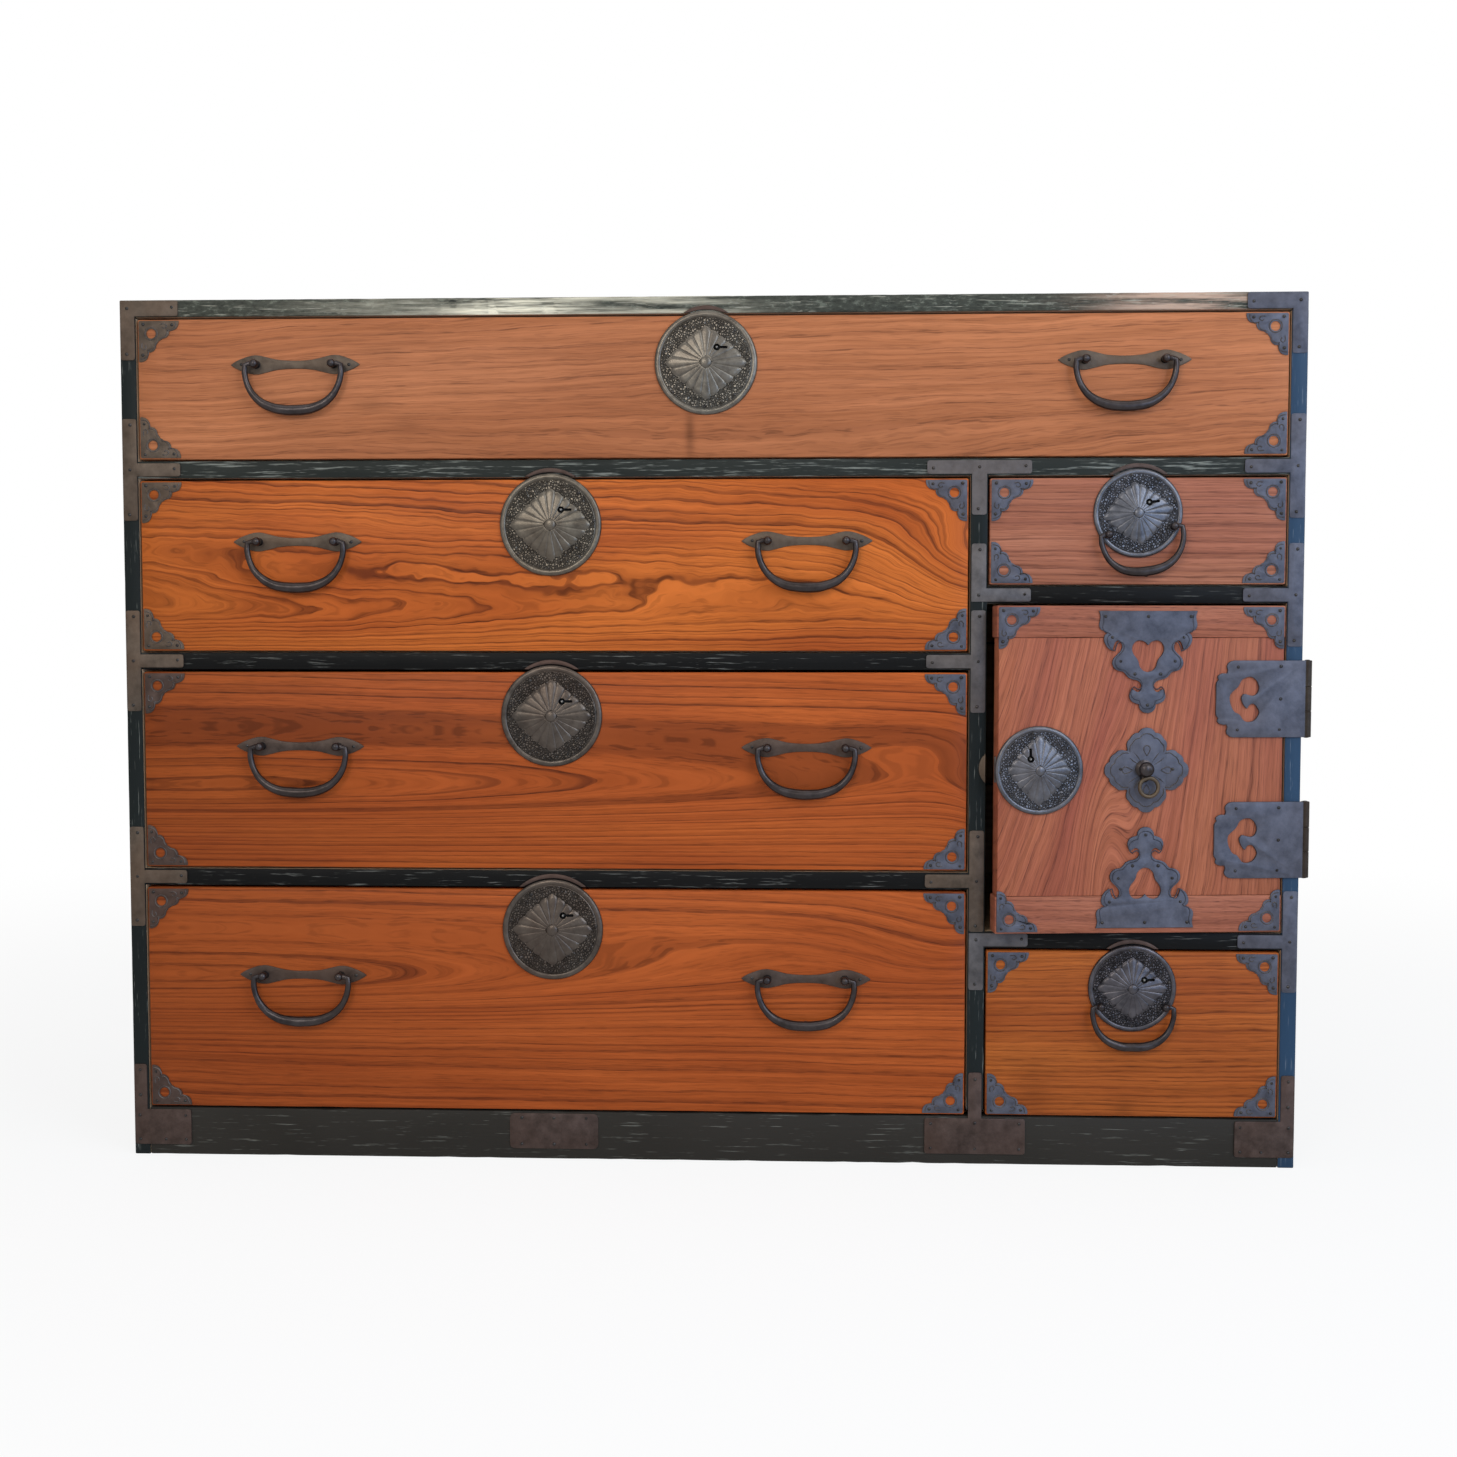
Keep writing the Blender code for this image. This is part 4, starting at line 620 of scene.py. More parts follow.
rails = {name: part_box(name)[0].z + 0.0085 for name in (
    "top_shelf", "left_upper_shelf", "left_lower_shelf", "right_upper_shelf", "right_lower_shelf",
)}
top_up = 0.87 - 0.0085
edge_x, divider_x = 0.582, 0.271
reach, half = 0.0515, 0.051
strap_table = [
    ("corner_strap_left", -edge_x, top_up, (reach, 0, 0, reach), iron_brown),
    ("corner_strap_right", edge_x, top_up, (0, 0, reach, reach), iron_blue_reflection),
    ("divider_strap_top", divider_x, rails["top_shelf"], (reach, 0, reach, 0.047), iron_grey),
    ("divider_strap_upper", divider_x, rails["left_upper_shelf"], (0, half, reach, half), iron_grey),
    ("divider_strap_lower", divider_x, rails["left_lower_shelf"], (0, half, reach, half), iron_brown),
    ("divider_ell_upper", divider_x, rails["right_upper_shelf"], (reach, half, 0, 0), iron_grey),
    ("divider_ell_lower", divider_x, rails["right_lower_shelf"], (reach, 0, 0, half), iron_grey),
]
for name in ("top_shelf", "left_upper_shelf", "left_lower_shelf"):
    strap_table.append((name + "_strap_left", -edge_x, rails[name], (reach, half, 0, half), iron_brown))
for name in ("top_shelf", "right_upper_shelf", "right_lower_shelf"):
    strap_table.append((name + "_strap_right", edge_x, rails[name], (0, half, reach, half), iron_blue_reflection))
for name, across, up, runs, finish in strap_table:
    arm = 0.016 if name.startswith("corner") else 0.0133
    loop = placed(strap(*runs, arm), across, up)
    ironwork(name, sheet_iron([loop], strap_back, strap_thick), finish)
    nailed(name + "_nails", strap_nails(across, up, runs))

foot_high, foot_low, stem_high = 0.0472, 0.0107, 0.094
foot_nails = (
    (0.583, 0.088), (0.583, 0.062), (0.584, 0.041), (0.584, 0.016), (0.557, 0.016), (0.536, 0.041), (0.536, 0.016),
)
middle_nails = (
    (0.271, 0.087), (0.2265, 0.0415), (0.271, 0.0425), (0.3155, 0.0420), (0.2265, 0.0165), (0.271, 0.0160),
    (0.3155, 0.0160),
)
for name, left, right, stem_left, stem_right, nails in (
    ("foot_plate_left", -0.58935, -0.5305, -0.58935, -0.57585, [(-x, z) for x, z in foot_nails]),
    ("foot_plate_right", 0.5305, 0.58935, 0.57585, 0.58935, foot_nails),
    ("foot_plate_middle", divider_x - 0.0505, divider_x + 0.0505, divider_x - 0.00675, divider_x + 0.00675,
     middle_nails),
):
    corners = [(left, foot_low, 0.003), (right, foot_low, 0.003)]
    if stem_right < right:
        corners += [(right, foot_high, 0.003), (stem_right, foot_high, 0)]
    corners += [(stem_right, stem_high, tip), (stem_left, stem_high, tip)]
    if stem_left > left:
        corners += [(stem_left, foot_high, 0), (left, foot_high, 0.003)]
    ironwork(name, sheet_iron([eased(corners)], strap_back, strap_thick), iron_foot)
    nailed(name + "_nails", [(x, strap_front, z) for x, z in nails])

base_plate_x, base_plate_half = -0.15575, 0.04525
loop = eased([
    (base_plate_x + way * base_plate_half, up, 0.006)
    for way, up in ((-1, foot_low), (1, foot_low), (1, foot_high), (-1, foot_high))
])
ironwork("base_plate", sheet_iron([loop], rail_y + 0.0004, strap_thick), iron_foot)
nailed("base_plate_nails", [
    (base_plate_x + x, rail_y - 0.0010, z) for x in (-0.033, 0, 0.033) for z in (0.0155, 0.0425)
])

# Drawer fronts and door: planks of ring-porous hardwood, each with its own figure, wiped with clear brown lacquer.
# Dark rings run along the grain, with short pores in them, and the planed edges catch the light.


def figured_wood(name, pale, mid, dark, spacing, swirls=(), tilt=0.0, sway=0.010, upright=False, seed=0.0,
                 depth=0.75, stains_and_shade=(), twist=None, thread=0.0014, silkiness=0.55, jogs=0.16):
    """Clear-lacquered plank whose rings are the level lines of a slope with swells in it.

    A swell is (along, across, its reach along, its reach across, its height), in metres, and a stain and a broad
    patch of painted shade are each the same with a share of darkening for its height. A twist is (along, across,
    rate):
    the grain leans more and more away from that place. Pores and silk follow the rings.
    """
    finish, tree = new_finish(name)
    place = add_node(tree, "TexCoord").outputs["Object"]
    parts = add_node(tree, "SeparateXYZ", {"Vector": place}).outputs
    along, across = (parts["Z"], parts["X"]) if upright else (parts["X"], parts["Z"])
    flat = add_node(tree, "CombineXYZ", {"X": along, "Y": across, "Z": 0.0}).outputs["Vector"]
    wander = add_grain(tree, (2.4, 11, 1), 1.0, 3.0, 0.5, 0.0, (seed, seed * 0.7, 0), flat)
    ripple = add_grain(tree, (22, 34, 1), 1.0, 2.0, 0.5, 0.0, (seed * 2, seed, 0), flat)
    height = add_math(tree, "MULTIPLY_ADD", wander, sway, across)
    height = add_math(tree, "MULTIPLY_ADD", ripple, sway * jogs, height)
    height = add_math(tree, "MULTIPLY_ADD", along, tilt, height)
    if twist:
        beyond, beside = add_math(tree, "ADD", along, -twist[0]), add_math(tree, "ADD", across, -twist[1])
        height = add_math(tree, "MULTIPLY_ADD", add_math(tree, "MULTIPLY", beyond, beside), twist[2], height)
    for x, z, reach_along, reach_across, rise in swirls:
        hump = add_swell(tree, flat, (x, z, 0), (reach_along, reach_across, 1))
        height = add_math(tree, "MULTIPLY_ADD", hump, rise, height)
    flow = add_node(tree, "CombineXYZ", {"X": along, "Y": height, "Z": parts["Y"]}).outputs["Vector"]

    def yearly(count, rate, detail):
        values = {"W": add_math(tree, "MULTIPLY", count, rate), "Scale": 1.0, "Detail": detail}
        return add_node(tree, "TexNoise", values, noise_dimensions="1D").outputs["Fac"]

    count = add_math(tree, "MULTIPLY", height, 1.0 / spacing)
    count = add_math(tree, "MULTIPLY_ADD", yearly(count, 0.37, 2.0), 2.4, count)
    share = thread / spacing
    line = add_ramp(tree, add_math(tree, "FRACT", count), (
        (0.0, 0.60), (0.35 * share, 0.95), (share, 0.80), (1.8 * share, 0.28), (0.55 + 0.5 * share, 0.05),
        (1 - 0.45 * share, 0.02),
    ))
    strength = add_range(tree, yearly(count, 0.61, 1.0), 0.45, 1.15, 0.35, 0.65)
    line = add_math(tree, "MULTIPLY", line, strength)
    cloud = add_grain(tree, (2.6, 14, 14), 1.0, 3.0, 0.55, 0.0, (seed, 4, seed), flow)
    silk = add_grain(tree, (4, 240, 90), 1.0, 4.0, 0.6, 0.0, (0, seed, 0), flow)
    fine = add_grain(tree, (14, 620, 400), 1.0, 2.0, 0.6, place=flow)
    pores = add_grain(tree, (45, 1250, 900), 1.0, 1.0, 0.5, place=flow)
    tint = add_ramp(tree, cloud, ((0.30, mid), (0.66, pale)))
    silk_tone = add_ramp(tree, silk, ((0.32, (0.62, 0.55, 0.48)), (0.68, (1.18, 1.18, 1.18))))
    tint = add_mix(tree, silkiness, tint, silk_tone, "MULTIPLY")
    fade = add_range(tree, cloud, depth, depth * 0.6, 0.25, 0.7)
    tint = add_mix(tree, add_math(tree, "MULTIPLY", line, fade), tint, dark)
    specks = add_ramp(tree, pores, ((0.36, 0.85), (0.47, 0.0)))
    shade = add_math(tree, "MULTIPLY", add_math(tree, "ADD", line, 0.55), specks)
    tint = add_mix(tree, add_math(tree, "MULTIPLY", shade, 0.42), tint, tuple(0.35 * c for c in dark))
    fibre = add_ramp(tree, fine, ((0.3, 0.82), (0.7, 1.12)))
    tint = add_mix(tree, 0.55, tint, fibre, "MULTIPLY")
    # Stains, and broad patches of painted shade at the left of the lower left drawers.
    for x, z, reach_along, reach_across, amount in stains_and_shade:
        darkened_share = add_swell(tree, flat, (x, z, 0), (reach_along, reach_across, 1))
        darkened_share = add_math(tree, "MULTIPLY", add_math(tree, "MULTIPLY", darkened_share, amount),
                        add_math(tree, "MULTIPLY", cloud, 1.6))
        tint = add_mix(tree, darkened_share, tint, tuple(0.30 * c for c in dark))
    relief = add_bump(tree, line, 0.20, -0.0004, add_bump(tree, specks, 0.25, -0.0002))
    return dressed(finish, tint, (silk, 0.30, 0.46), relief, 0.07)


large_drawers = {
    "top_drawer": figured_wood(
        "top_drawer_wood", (0.451, 0.166, 0.071), (0.361, 0.125, 0.052), (0.180, 0.060, 0.029), 0.01,
        swirls=((0.15, 0.70, 0.30, 0.045, 0.03), (-0.50, 0.80, 0.10, 0.05, 0.010)), tilt=-0.03, sway=0.024,
        seed=1.7, depth=0.42,
        stains_and_shade=((-0.016, 0.735, 0.0048, 0.024, 0.85), (-0.325, 0.817, 0.022, 0.006, 0.30),
                (-0.335, 0.764, 0.020, 0.008, 0.30), (-0.30, 0.745, 0.018, 0.012, 0.25)), thread=0.0012, silkiness=0.5,
    ),
    "upper_left_drawer": figured_wood(
        "upper_left_drawer_wood", (0.553, 0.142, 0.026), (0.392, 0.083, 0.017), (0.094, 0.018, 0.006), 0.0072,
        swirls=(
            (-0.80, 0.548, 0.85, 0.040, 0.1013), (-0.62, 0.590, 0.15, 0.030, 0.030),
            (0.300, 0.612, 0.095, 0.050, 0.080),
        ),
        tilt=0.04, sway=0.026, seed=3.1, depth=0.95, silkiness=0.5,
        # The broad stain at the left is painted shade.
        stains_and_shade=((-0.62, 0.60, 0.16, 0.3, 0.26),), jogs=0.34,
    ),
    "middle_left_drawer": figured_wood(
        "middle_left_drawer_wood", (0.450, 0.103, 0.021), (0.343, 0.071, 0.016), (0.093, 0.019, 0.006), 0.012,
        swirls=((-0.62, 0.372, 0.96, 0.050, 0.120), (0.33, 0.36, 0.06, 0.080, 0.050)), tilt=0.02, sway=0.011,
        # The broad stain at the left is painted shade.
        seed=5.9, depth=0.92, stains_and_shade=((-0.66, 0.39, 0.34, 0.6, 0.42),), thread=0.0017,
    ),
    "bottom_left_drawer": figured_wood(
        "bottom_left_drawer_wood", (0.424, 0.097, 0.021), (0.319, 0.066, 0.014), (0.115, 0.023, 0.007), 0.011,
        swirls=((-0.60, 0.180, 0.62, 0.040, 0.095), (0.25, 0.22, 0.10, 0.05, 0.025)), tilt=0.015, sway=0.013,
        # The broad stain at the left is painted shade.
        seed=8.3, depth=0.8, stains_and_shade=((-0.66, 0.17, 0.36, 0.6, 0.34),), thread=0.0017,
    ),
}
small_drawers = {
    "upper_right_drawer": figured_wood(
        "upper_right_drawer_wood", (0.384, 0.151, 0.087), (0.292, 0.100, 0.060), (0.115, 0.038, 0.027), 0.0060,
        tilt=0.01, sway=0.012, seed=2.4, depth=0.7, thread=0.0012,
    ),
    "bottom_right_drawer": figured_wood(
        "bottom_right_drawer_wood", (0.403, 0.110, 0.022), (0.289, 0.065, 0.015), (0.114, 0.024, 0.007), 0.006,
        tilt=-0.01, sway=0.016, seed=6.6, depth=0.75,
        stains_and_shade=((0.33, 0.075, 0.02, 0.03, 0.25), (0.42, 0.06, 0.012, 0.008, 0.35)),
    ),
}
door_plank = figured_wood(
    "door_wood", (0.402, 0.135, 0.069), (0.298, 0.084, 0.052), (0.112, 0.031, 0.023), 0.008,
    swirls=((0.30, 0.395, 0.11, 0.022, 0.040),), tilt=-0.02, sway=0.020, upright=True, seed=4.2, depth=0.50,
    twist=(0.40, 0.575, 1.15), stains_and_shade=((0.40, 0.60, 0.40, 0.085, 0.30),),
)
door_end_wood = figured_wood(
    "door_end_wood", (0.363, 0.132, 0.075), (0.269, 0.086, 0.051), (0.111, 0.035, 0.026), 0.0070,
    tilt=0.02, sway=0.012, seed=7.7, depth=0.50, thread=0.0012,
)

front_thick = 0.018
drawers = {**large_drawers, **small_drawers}
for name, plank in drawers.items():
    low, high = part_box(name + "_front")
    front = planed_board(
        (low.x, face_y, low.z), (high.x, face_y + front_thick, high.z), edge=0.0016, step=0.02, wear=0.0005,
    )
    shown(name + "_front_shown", cut(front, bolt_room(name), (plank,)), name, (), [name + "_front"])

# Drawer boxes: thin softwood sides, back and floor, the sides lapped over the ends and pegged.
# They are left bare, and show only when a drawer is drawn out.

box_side = bare_wood("box_side", (3, 60, 60), (0.60, 0.47, 0.31), (0.44, 0.32, 0.19))
box_end = bare_wood("box_end", (60, 3, 60), (0.60, 0.47, 0.31), (0.44, 0.32, 0.19))
peg_wood = bare_wood("box_pegs", (90, 90, 90), (0.34, 0.24, 0.13), (0.24, 0.16, 0.09))
wall, peg_spacing = 0.010, 0.045
for name in drawers:
    low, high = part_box(name + "_box")
    left, right = low.x + wall, high.x - wall
    boards = {
        "side_left": ((low.x, low.y, low.z), (left, high.y, high.z), box_end),
        "side_right": ((right, low.y, low.z), (high.x, high.y, high.z), box_end),
        "inner_front": ((left, low.y, low.z), (right, low.y + wall, high.z - 0.0006), box_side),
        "back": ((left, high.y - wall, low.z), (right, high.y, high.z - 0.0006), box_side),
        "floor": ((left, low.y + wall, low.z + 0.0004), (right, high.y - wall, low.z + 0.006), box_side),
    }
    for part, (corner, opposite, finish) in boards.items():
        shown(
            f"{name}_box_{part}", planed_board(corner, opposite, edge=0.0006), name, (finish,),
            [name + "_box"],
        )
    peg_rows = round((high.z - low.z) / peg_spacing)
    pegs = nail_heads([
        (side, -high.y + 0.00004, low.z + (high.z - low.z) * (row + 0.5) / peg_rows)
        for side in (left - wall / 2, right + wall / 2) for row in range(peg_rows)
    ], radius=0.0022, rise=0.00002)
    pegs.transform(Matrix.Diagonal((1, -1, 1, 1)))
    pegs.flip_normals()
    shown(name + "_box_pegs", pegs, name, (peg_wood,))

# Corner plates: cut from sheet iron to four lobes and a round hole, with a fine bead chased inside the rim.
# Three domed nails hold each one, and the left-hand ones have worn brown, darker as painted shade on the lower left
# drawers;
# the right-hand ones are tinted blue as a painted reflection of the cool light.


def flowing(points, steps=3):
    """A smooth open run through points, both ends included."""
    run = []
    padded = [points[0], *points, points[-1]]
    for p0, p1, p2, p3 in zip(padded, padded[1:], padded[2:], padded[3:]):
        for step in range(steps):
            t = step / steps
            run.append(tuple(
                0.5 * (2 * b + (c - a) * t + (2 * a - 5 * b + 4 * c - d) * t * t + (3 * b - a - 3 * c + d) * t ** 3)
                for a, b, c, d in zip(p0, p1, p2, p3)
            ))
    return run + [tuple(points[-1])]


def scaled(points, across, up):
    """Points drawn in shares of a size, at that size."""
    return [(x * across, z * up) for x, z in points]


corner_leg = 0.0408
corner_inset = 0.0015
lobes = (
    ((1.0, 0.0), (1.0, 0.07), (0.965, 0.16), (0.90, 0.215), (0.82, 0.235), (0.75, 0.205)),
    ((0.75, 0.205), (0.765, 0.28), (0.735, 0.36), (0.665, 0.415), (0.585, 0.435), (0.50, 0.50)),
)
corner_run = []
for lobe in lobes:
    corner_run += flowing(scaled(lobe, corner_leg, -corner_leg))[:-1]
corner_edge = [(0.0010, 0.0)] + corner_run + [(0.49 * corner_leg, -0.49 * corner_leg)]
corner_edge += [(-z, -x) for x, z in reversed(corner_run)] + [(0.0, -0.0010)]
hole_place = 0.31 * corner_leg
corner_hole = [(hole_place + 0.0048 * cos(a), -hole_place + 0.0048 * sin(a)) for a in around(20)]
corner_nails = ((0.0340, -0.0040), (0.0046, -0.0034), (0.0040, -0.0340))


def bead_line(runs, depth, width=0.0011, rise=0.0007):
    """Raised threads chased in iron along open runs of (across, up), three-sided, on a plane at a depth."""
    threads = []
    for run in runs:
        last = len(run) - 1
        rings = []
        for index, (x, z) in enumerate(run):
            way = Vector(run[min(index + 1, last)]) - Vector(run[max(index - 1, 0)])
            if way.length < 1e-9:
                way = Vector((1, 0))
            side = Vector((-way.y, way.x)).normalized() * width / 2
            slim = 0.35 if index in (0, last) else 1.0
            rings.append([
                (x + side.x * slim, depth + 0.0001, z + side.y * slim), (x, depth - rise * slim, z),
                (x - side.x * slim, depth + 0.0001, z - side.y * slim),
            ])
        threads.append(rings)
    return skinned(threads)


def drawn_in(run, centre, share):
    """A run pulled toward a centre by a share."""
    return [(centre[0] + (x - centre[0]) * share, centre[1] + (z - centre[1]) * share) for x, z in run]


bead_centre = (0.28 * corner_leg, -0.28 * corner_leg)
scroll = [(0.022, -0.0035), (0.0265, -0.0030), (0.0285, -0.0055), (0.0262, -0.0075), (0.0238, -0.0062)]
corner_scrolls = [
    drawn_in(corner_run, bead_centre, 0.90), drawn_in([(-z, -x) for x, z in corner_run], bead_centre, 0.90),
    [(hole_place + 0.0063 * cos(a * pi / 12), -hole_place + 0.0063 * sin(a * pi / 12)) for a in range(-7, 20)],
    flowing(scroll, 4), flowing([(-z, -x) for x, z in scroll], 4),
]
# Paler iron for the chased beads: part rubbed wear and part a painted highlight that makes their relief read.
rubbed_and_highlit_iron = black_iron(
    "rubbed_and_highlit_iron", (0.080, 0.072, 0.070), (0.170, 0.155, 0.150), (0.130, 0.100, 0.085), 0.4, (0.36, 0.50), 0.3, 0.7,
)


def add_corner_plates(name, body, bounds, finishes, turn=Matrix()):
    """The four corner plates of a front, with their nails; finishes are for the left pair and the right pair."""
    low, high = bounds
    for side, across, flip_across, finish in (
        ("left", low.x + corner_inset, 1, finishes[0]), ("right", high.x - corner_inset, -1, finishes[1]),
    ):
        loops, beads, nails = [], [], []
        for up, flip_up in ((high.z - corner_inset, 1), (low.z + corner_inset, -1)):
            seat = (across, up, flip_across, flip_up)
            loops += [placed(loop, *seat) for loop in (corner_edge, corner_hole)]
            beads += [placed(run, *seat) for run in corner_scrolls]
            nails += [(x, strap_front, z) for x, z in placed(corner_nails, *seat)]
        plates = sheet_iron(loops, strap_back, strap_thick, rim=0.0004)
        ironwork(f"{name}_corner_plates_{side}", plates, finish, body, turn=turn)
        chasing = bead_line(beads, strap_front)
        ironwork(f"{name}_corner_chasing_{side}", chasing, rubbed_and_highlit_iron, body, smooth=60, turn=turn)
        nailed(f"{name}_corner_nails_{side}", nails, body, turn)


# The lower left drawers take darker iron as painted shade.
darker_drawers = ("middle_left_drawer", "bottom_left_drawer")
for name in drawers:
    left_finish = iron_blue_reflection if name in small_drawers else iron_foot if name in darker_drawers else iron_brown
    add_corner_plates(name, name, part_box(name + "_front"), (left_finish, iron_blue_reflection))

# Handles of the large drawers: a long leaf of sheet iron, pointed at both ends, with two turned posts riveted in.
# A hand-forged bail hangs in the posts' eyes, thick at the bottom, and knocks on a small stud.

handle_iron = black_iron(
    "handle_iron", (0.048, 0.036, 0.028), (0.104, 0.082, 0.064), (0.088, 0.056, 0.036), 0.5, (0.38, 0.55), 0.6, 0.6,
)
# A darker copy for the lower left drawers' handles: painted shade.
dark_handle_iron = black_iron(
    "dark_handle_iron", (0.032, 0.023, 0.019), (0.078, 0.057, 0.048), (0.070, 0.042, 0.030), 0.5, (0.38, 0.55),
    0.6, 0.6,
)
bail_iron = black_iron(
    "bail_iron", (0.022, 0.019, 0.020), (0.056, 0.050, 0.052), (0.046, 0.032, 0.024), 0.4, (0.24, 0.38), 0.35, 0.85,
)
leaf_shares = (
    (0.0, 0.42), (0.15, 0.45), (0.30, 0.56), (0.46, 0.83), (0.58, 1.00), (0.68, 0.97), (0.78, 0.78),
    (0.88, 0.52), (0.95, 0.27), (1.0, 0.04),
)
leaf_top = flowing(scaled(leaf_shares, 0.065, 0.0095))
leaf_right = leaf_top + [(x, -z) for x, z in reversed(leaf_top)]
leaf_edge = leaf_right + [(-x, z) for x, z in reversed(leaf_right)][1:-1]
post_spacing, handle_inset, handle_rise, bail_drop = 0.078, 0.160, 0.024, 0.0463
bail_out = 0.010


def turned_piece(profile, sides=20, size=1.0):
    """A piece turned about a line that runs out of the front; the profile is (radius, distance out)."""
    return skinned([[
        [(size * radius * cos(a), -out, size * radius * sin(a)) for a in around(sides)] for radius, out in profile
    ]])


def forged_bail(half_width, drop, wire, spacing, seed=0, sides=14, steps=56):
    """A bail about its pivot: two short stubs into the posts, then a flattened bow, thicker at the bottom."""
    power = 2.4
    first = radians(8)
    bow = []
    for step in range(steps + 1):
        angle = first + (pi - 2 * first) * step / steps
        x = -half_width * abs(cos(angle)) ** (2 / power) * (1 if cos(angle) > 0 else -1)
        z = -drop * sin(angle) ** (2 / power)
        if z < -0.004:
            bow.append((Vector((x, 0, z)), 0.85 + 0.65 * sin(angle) ** 3))
    stub = [(Vector((0.0040 - spacing / 2, 0, 0)), 0.70), (Vector((-spacing / 2 - 0.0048, 0, 0)), 0.78),
            (Vector((-half_width * 0.985, 0, -0.0012)), 0.80)]
    route = stub + bow + [(Vector((-p.x, p.y, p.z)), share) for p, share in reversed(stub)]
    rings = []
    side_way = Vector((0, 1, 0))
    for index, (centre, swell) in enumerate(route):
        way = (route[min(index + 1, len(route) - 1)][0] - route[max(index - 1, 0)][0]).normalized()
        ring = []
        for angle in around(sides):
            spot = centre * 90 + Vector((cos(angle) * 0.4, seed, sin(angle) * 0.4))
            radius = wire * swell * (1 + 0.07 * noise.noise(spot) + 0.03 * noise.noise(spot * 3))
            ring.append(centre + way.cross(side_way) * radius * cos(angle) + side_way * radius * 0.94 * sin(angle))
        rings.append(ring)
    return skinned([rings])


post_profile = (
    (0.0053, -0.0012), (0.0053, 0.0008), (0.0044, 0.0018), (0.0036, 0.0030), (0.0036, 0.0048), (0.0044, 0.0062),
    (0.0051, 0.0082), (0.0052, 0.0104), (0.0050, 0.0124), (0.0040, 0.0142), (0.0024, 0.0151), (0.0008, 0.0154),
)
stud_profile = ((0.0036, -0.0010), (0.0036, 0.0012), (0.0031, 0.0027), (0.0020, 0.0038), (0.0007, 0.0042))


def add_posts(name, body, seat, spacing, size):
    """The two posts that carry a bail, each side of a seat."""
    posts = []
    for place in (-spacing / 2, spacing / 2):
        posts.append(turned_piece(post_profile, size=size))
        posts[-1].transform(seat @ shift(place, 0, 0))
    ironwork(name, joined(posts), bail_iron, body, smooth=50)


for number, name in enumerate(large_drawers):
    low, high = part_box(name + "_front")
    handle_z = (low.z + high.z) / 2 + handle_rise
    leaf_iron = dark_handle_iron if name in darker_drawers else handle_iron
    for side, handle_x in (("left", low.x + handle_inset), ("right", high.x - handle_inset)):
        handle = f"{name}_handle_{side}"
        seat = shift(handle_x, face_y, handle_z)
        leaf = sheet_iron([placed(leaf_edge, handle_x, handle_z)], strap_back, strap_thick + 0.0002, rim=0.0006)
        ironwork(handle + "_leaf", leaf, leaf_iron, name, [handle] if name == "top_drawer" else ())
        nailed(handle + "_nails", [
            (handle_x + x, strap_front - 0.0001, handle_z + z) for x, z in ((-0.0545, 0.0004), (0.0545, -0.0002))
        ], name)
        add_posts(handle + "_posts", name, seat, post_spacing, 0.82)
        stud = turned_piece(stud_profile, 14)
        ironwork(handle + "_stud", stud, leaf_iron, name, smooth=50, turn=seat @ shift(0, 0, -bail_drop))
        bail = forged_bail(0.049, bail_drop, 0.0035, post_spacing, seed=number * 2.3 + (side == "left"))
        bail_name = f"{name}_bail_{side}"
        ironwork(bail_name + "_shown", bail, bail_iron, bail_name, [bail_name], 60, seat @ shift(0, -bail_out, 0))

# Locks: raised discs of iron, each with a low four-sided chrysanthemum of grooved petals inside a chased band.
# A plain rolled rim runs round it, nails go through the band, and a pin stands in the round keyhole.
# A black sheet behind the keyhole is a painted shadow.

# The discs' tones are painted light: the top lock lighter, the low ones darker as painted shade, and the right-hand
# ones tinted blue as a painted reflection.
lock_finishes = {
    name: black_iron("lock_iron_" + name, dark, light, rust, 0.4, (0.27, 0.42), 0.5, 0.8)
    for name, dark, light, rust in (
        ("top", (0.060, 0.055, 0.048), (0.160, 0.150, 0.130), (0.110, 0.086, 0.066)),
        ("left", (0.052, 0.046, 0.038), (0.140, 0.126, 0.104), (0.095, 0.072, 0.054)),
        ("low", (0.038, 0.032, 0.028), (0.100, 0.086, 0.074), (0.074, 0.052, 0.040)),
        ("right", (0.050, 0.052, 0.060), (0.125, 0.126, 0.140), (0.090, 0.074, 0.068)),
        ("right_low", (0.036, 0.035, 0.040), (0.092, 0.086, 0.094), (0.070, 0.054, 0.048)),
    )
}
# Near-black iron for the sheet behind the keyhole: a painted shadow where the lock's works lie in shade.
keyhole_painted_shadow = black_iron(
    "keyhole_painted_shadow", (0.006, 0.006, 0.006), (0.012, 0.012, 0.012), (0.010, 0.008, 0.007), 0.2, (0.7, 0.9), 0.3, 0.0,
)
pin_iron = black_iron(
    "keyhole_pin", (0.14, 0.135, 0.125), (0.22, 0.215, 0.20), (0.15, 0.12, 0.10), 0.2, (0.3, 0.5), 0.2, 0.6,
)


def chased_finish(name, base):
    """The same iron where its face is punched all over with fine curls."""
    finish = base.copy()
    finish.name = name
    tree = finish.node_tree
    shader = tree.nodes["Principled BSDF"]
    smooth_way, tone = (shader.inputs[socket].links[0].from_socket for socket in ("Normal", "Base Color"))
    cells = add_node(tree, "TexVoronoi", {
        "Vector": add_node(tree, "TexCoord").outputs["Object"], "Scale": 430.0, "Randomness": 0.9,
    }, feature="DISTANCE_TO_EDGE").outputs["Distance"]
    curls = add_ramp(tree, cells, ((0.02, 0), (0.22, 1)))
    tree.links.new(add_bump(tree, curls, 0.9, 0.0012, smooth_way), shader.inputs["Normal"])
    # Painted shade in the punched lines and a painted highlight on the curls between them.
    shade = add_ramp(tree, cells, ((0.0, 0.22), (0.12, 0.70), (0.30, 1.45)))
    tree.links.new(add_mix(tree, 0.85, tone, shade, "MULTIPLY"), shader.inputs["Base Color"])
    return finish


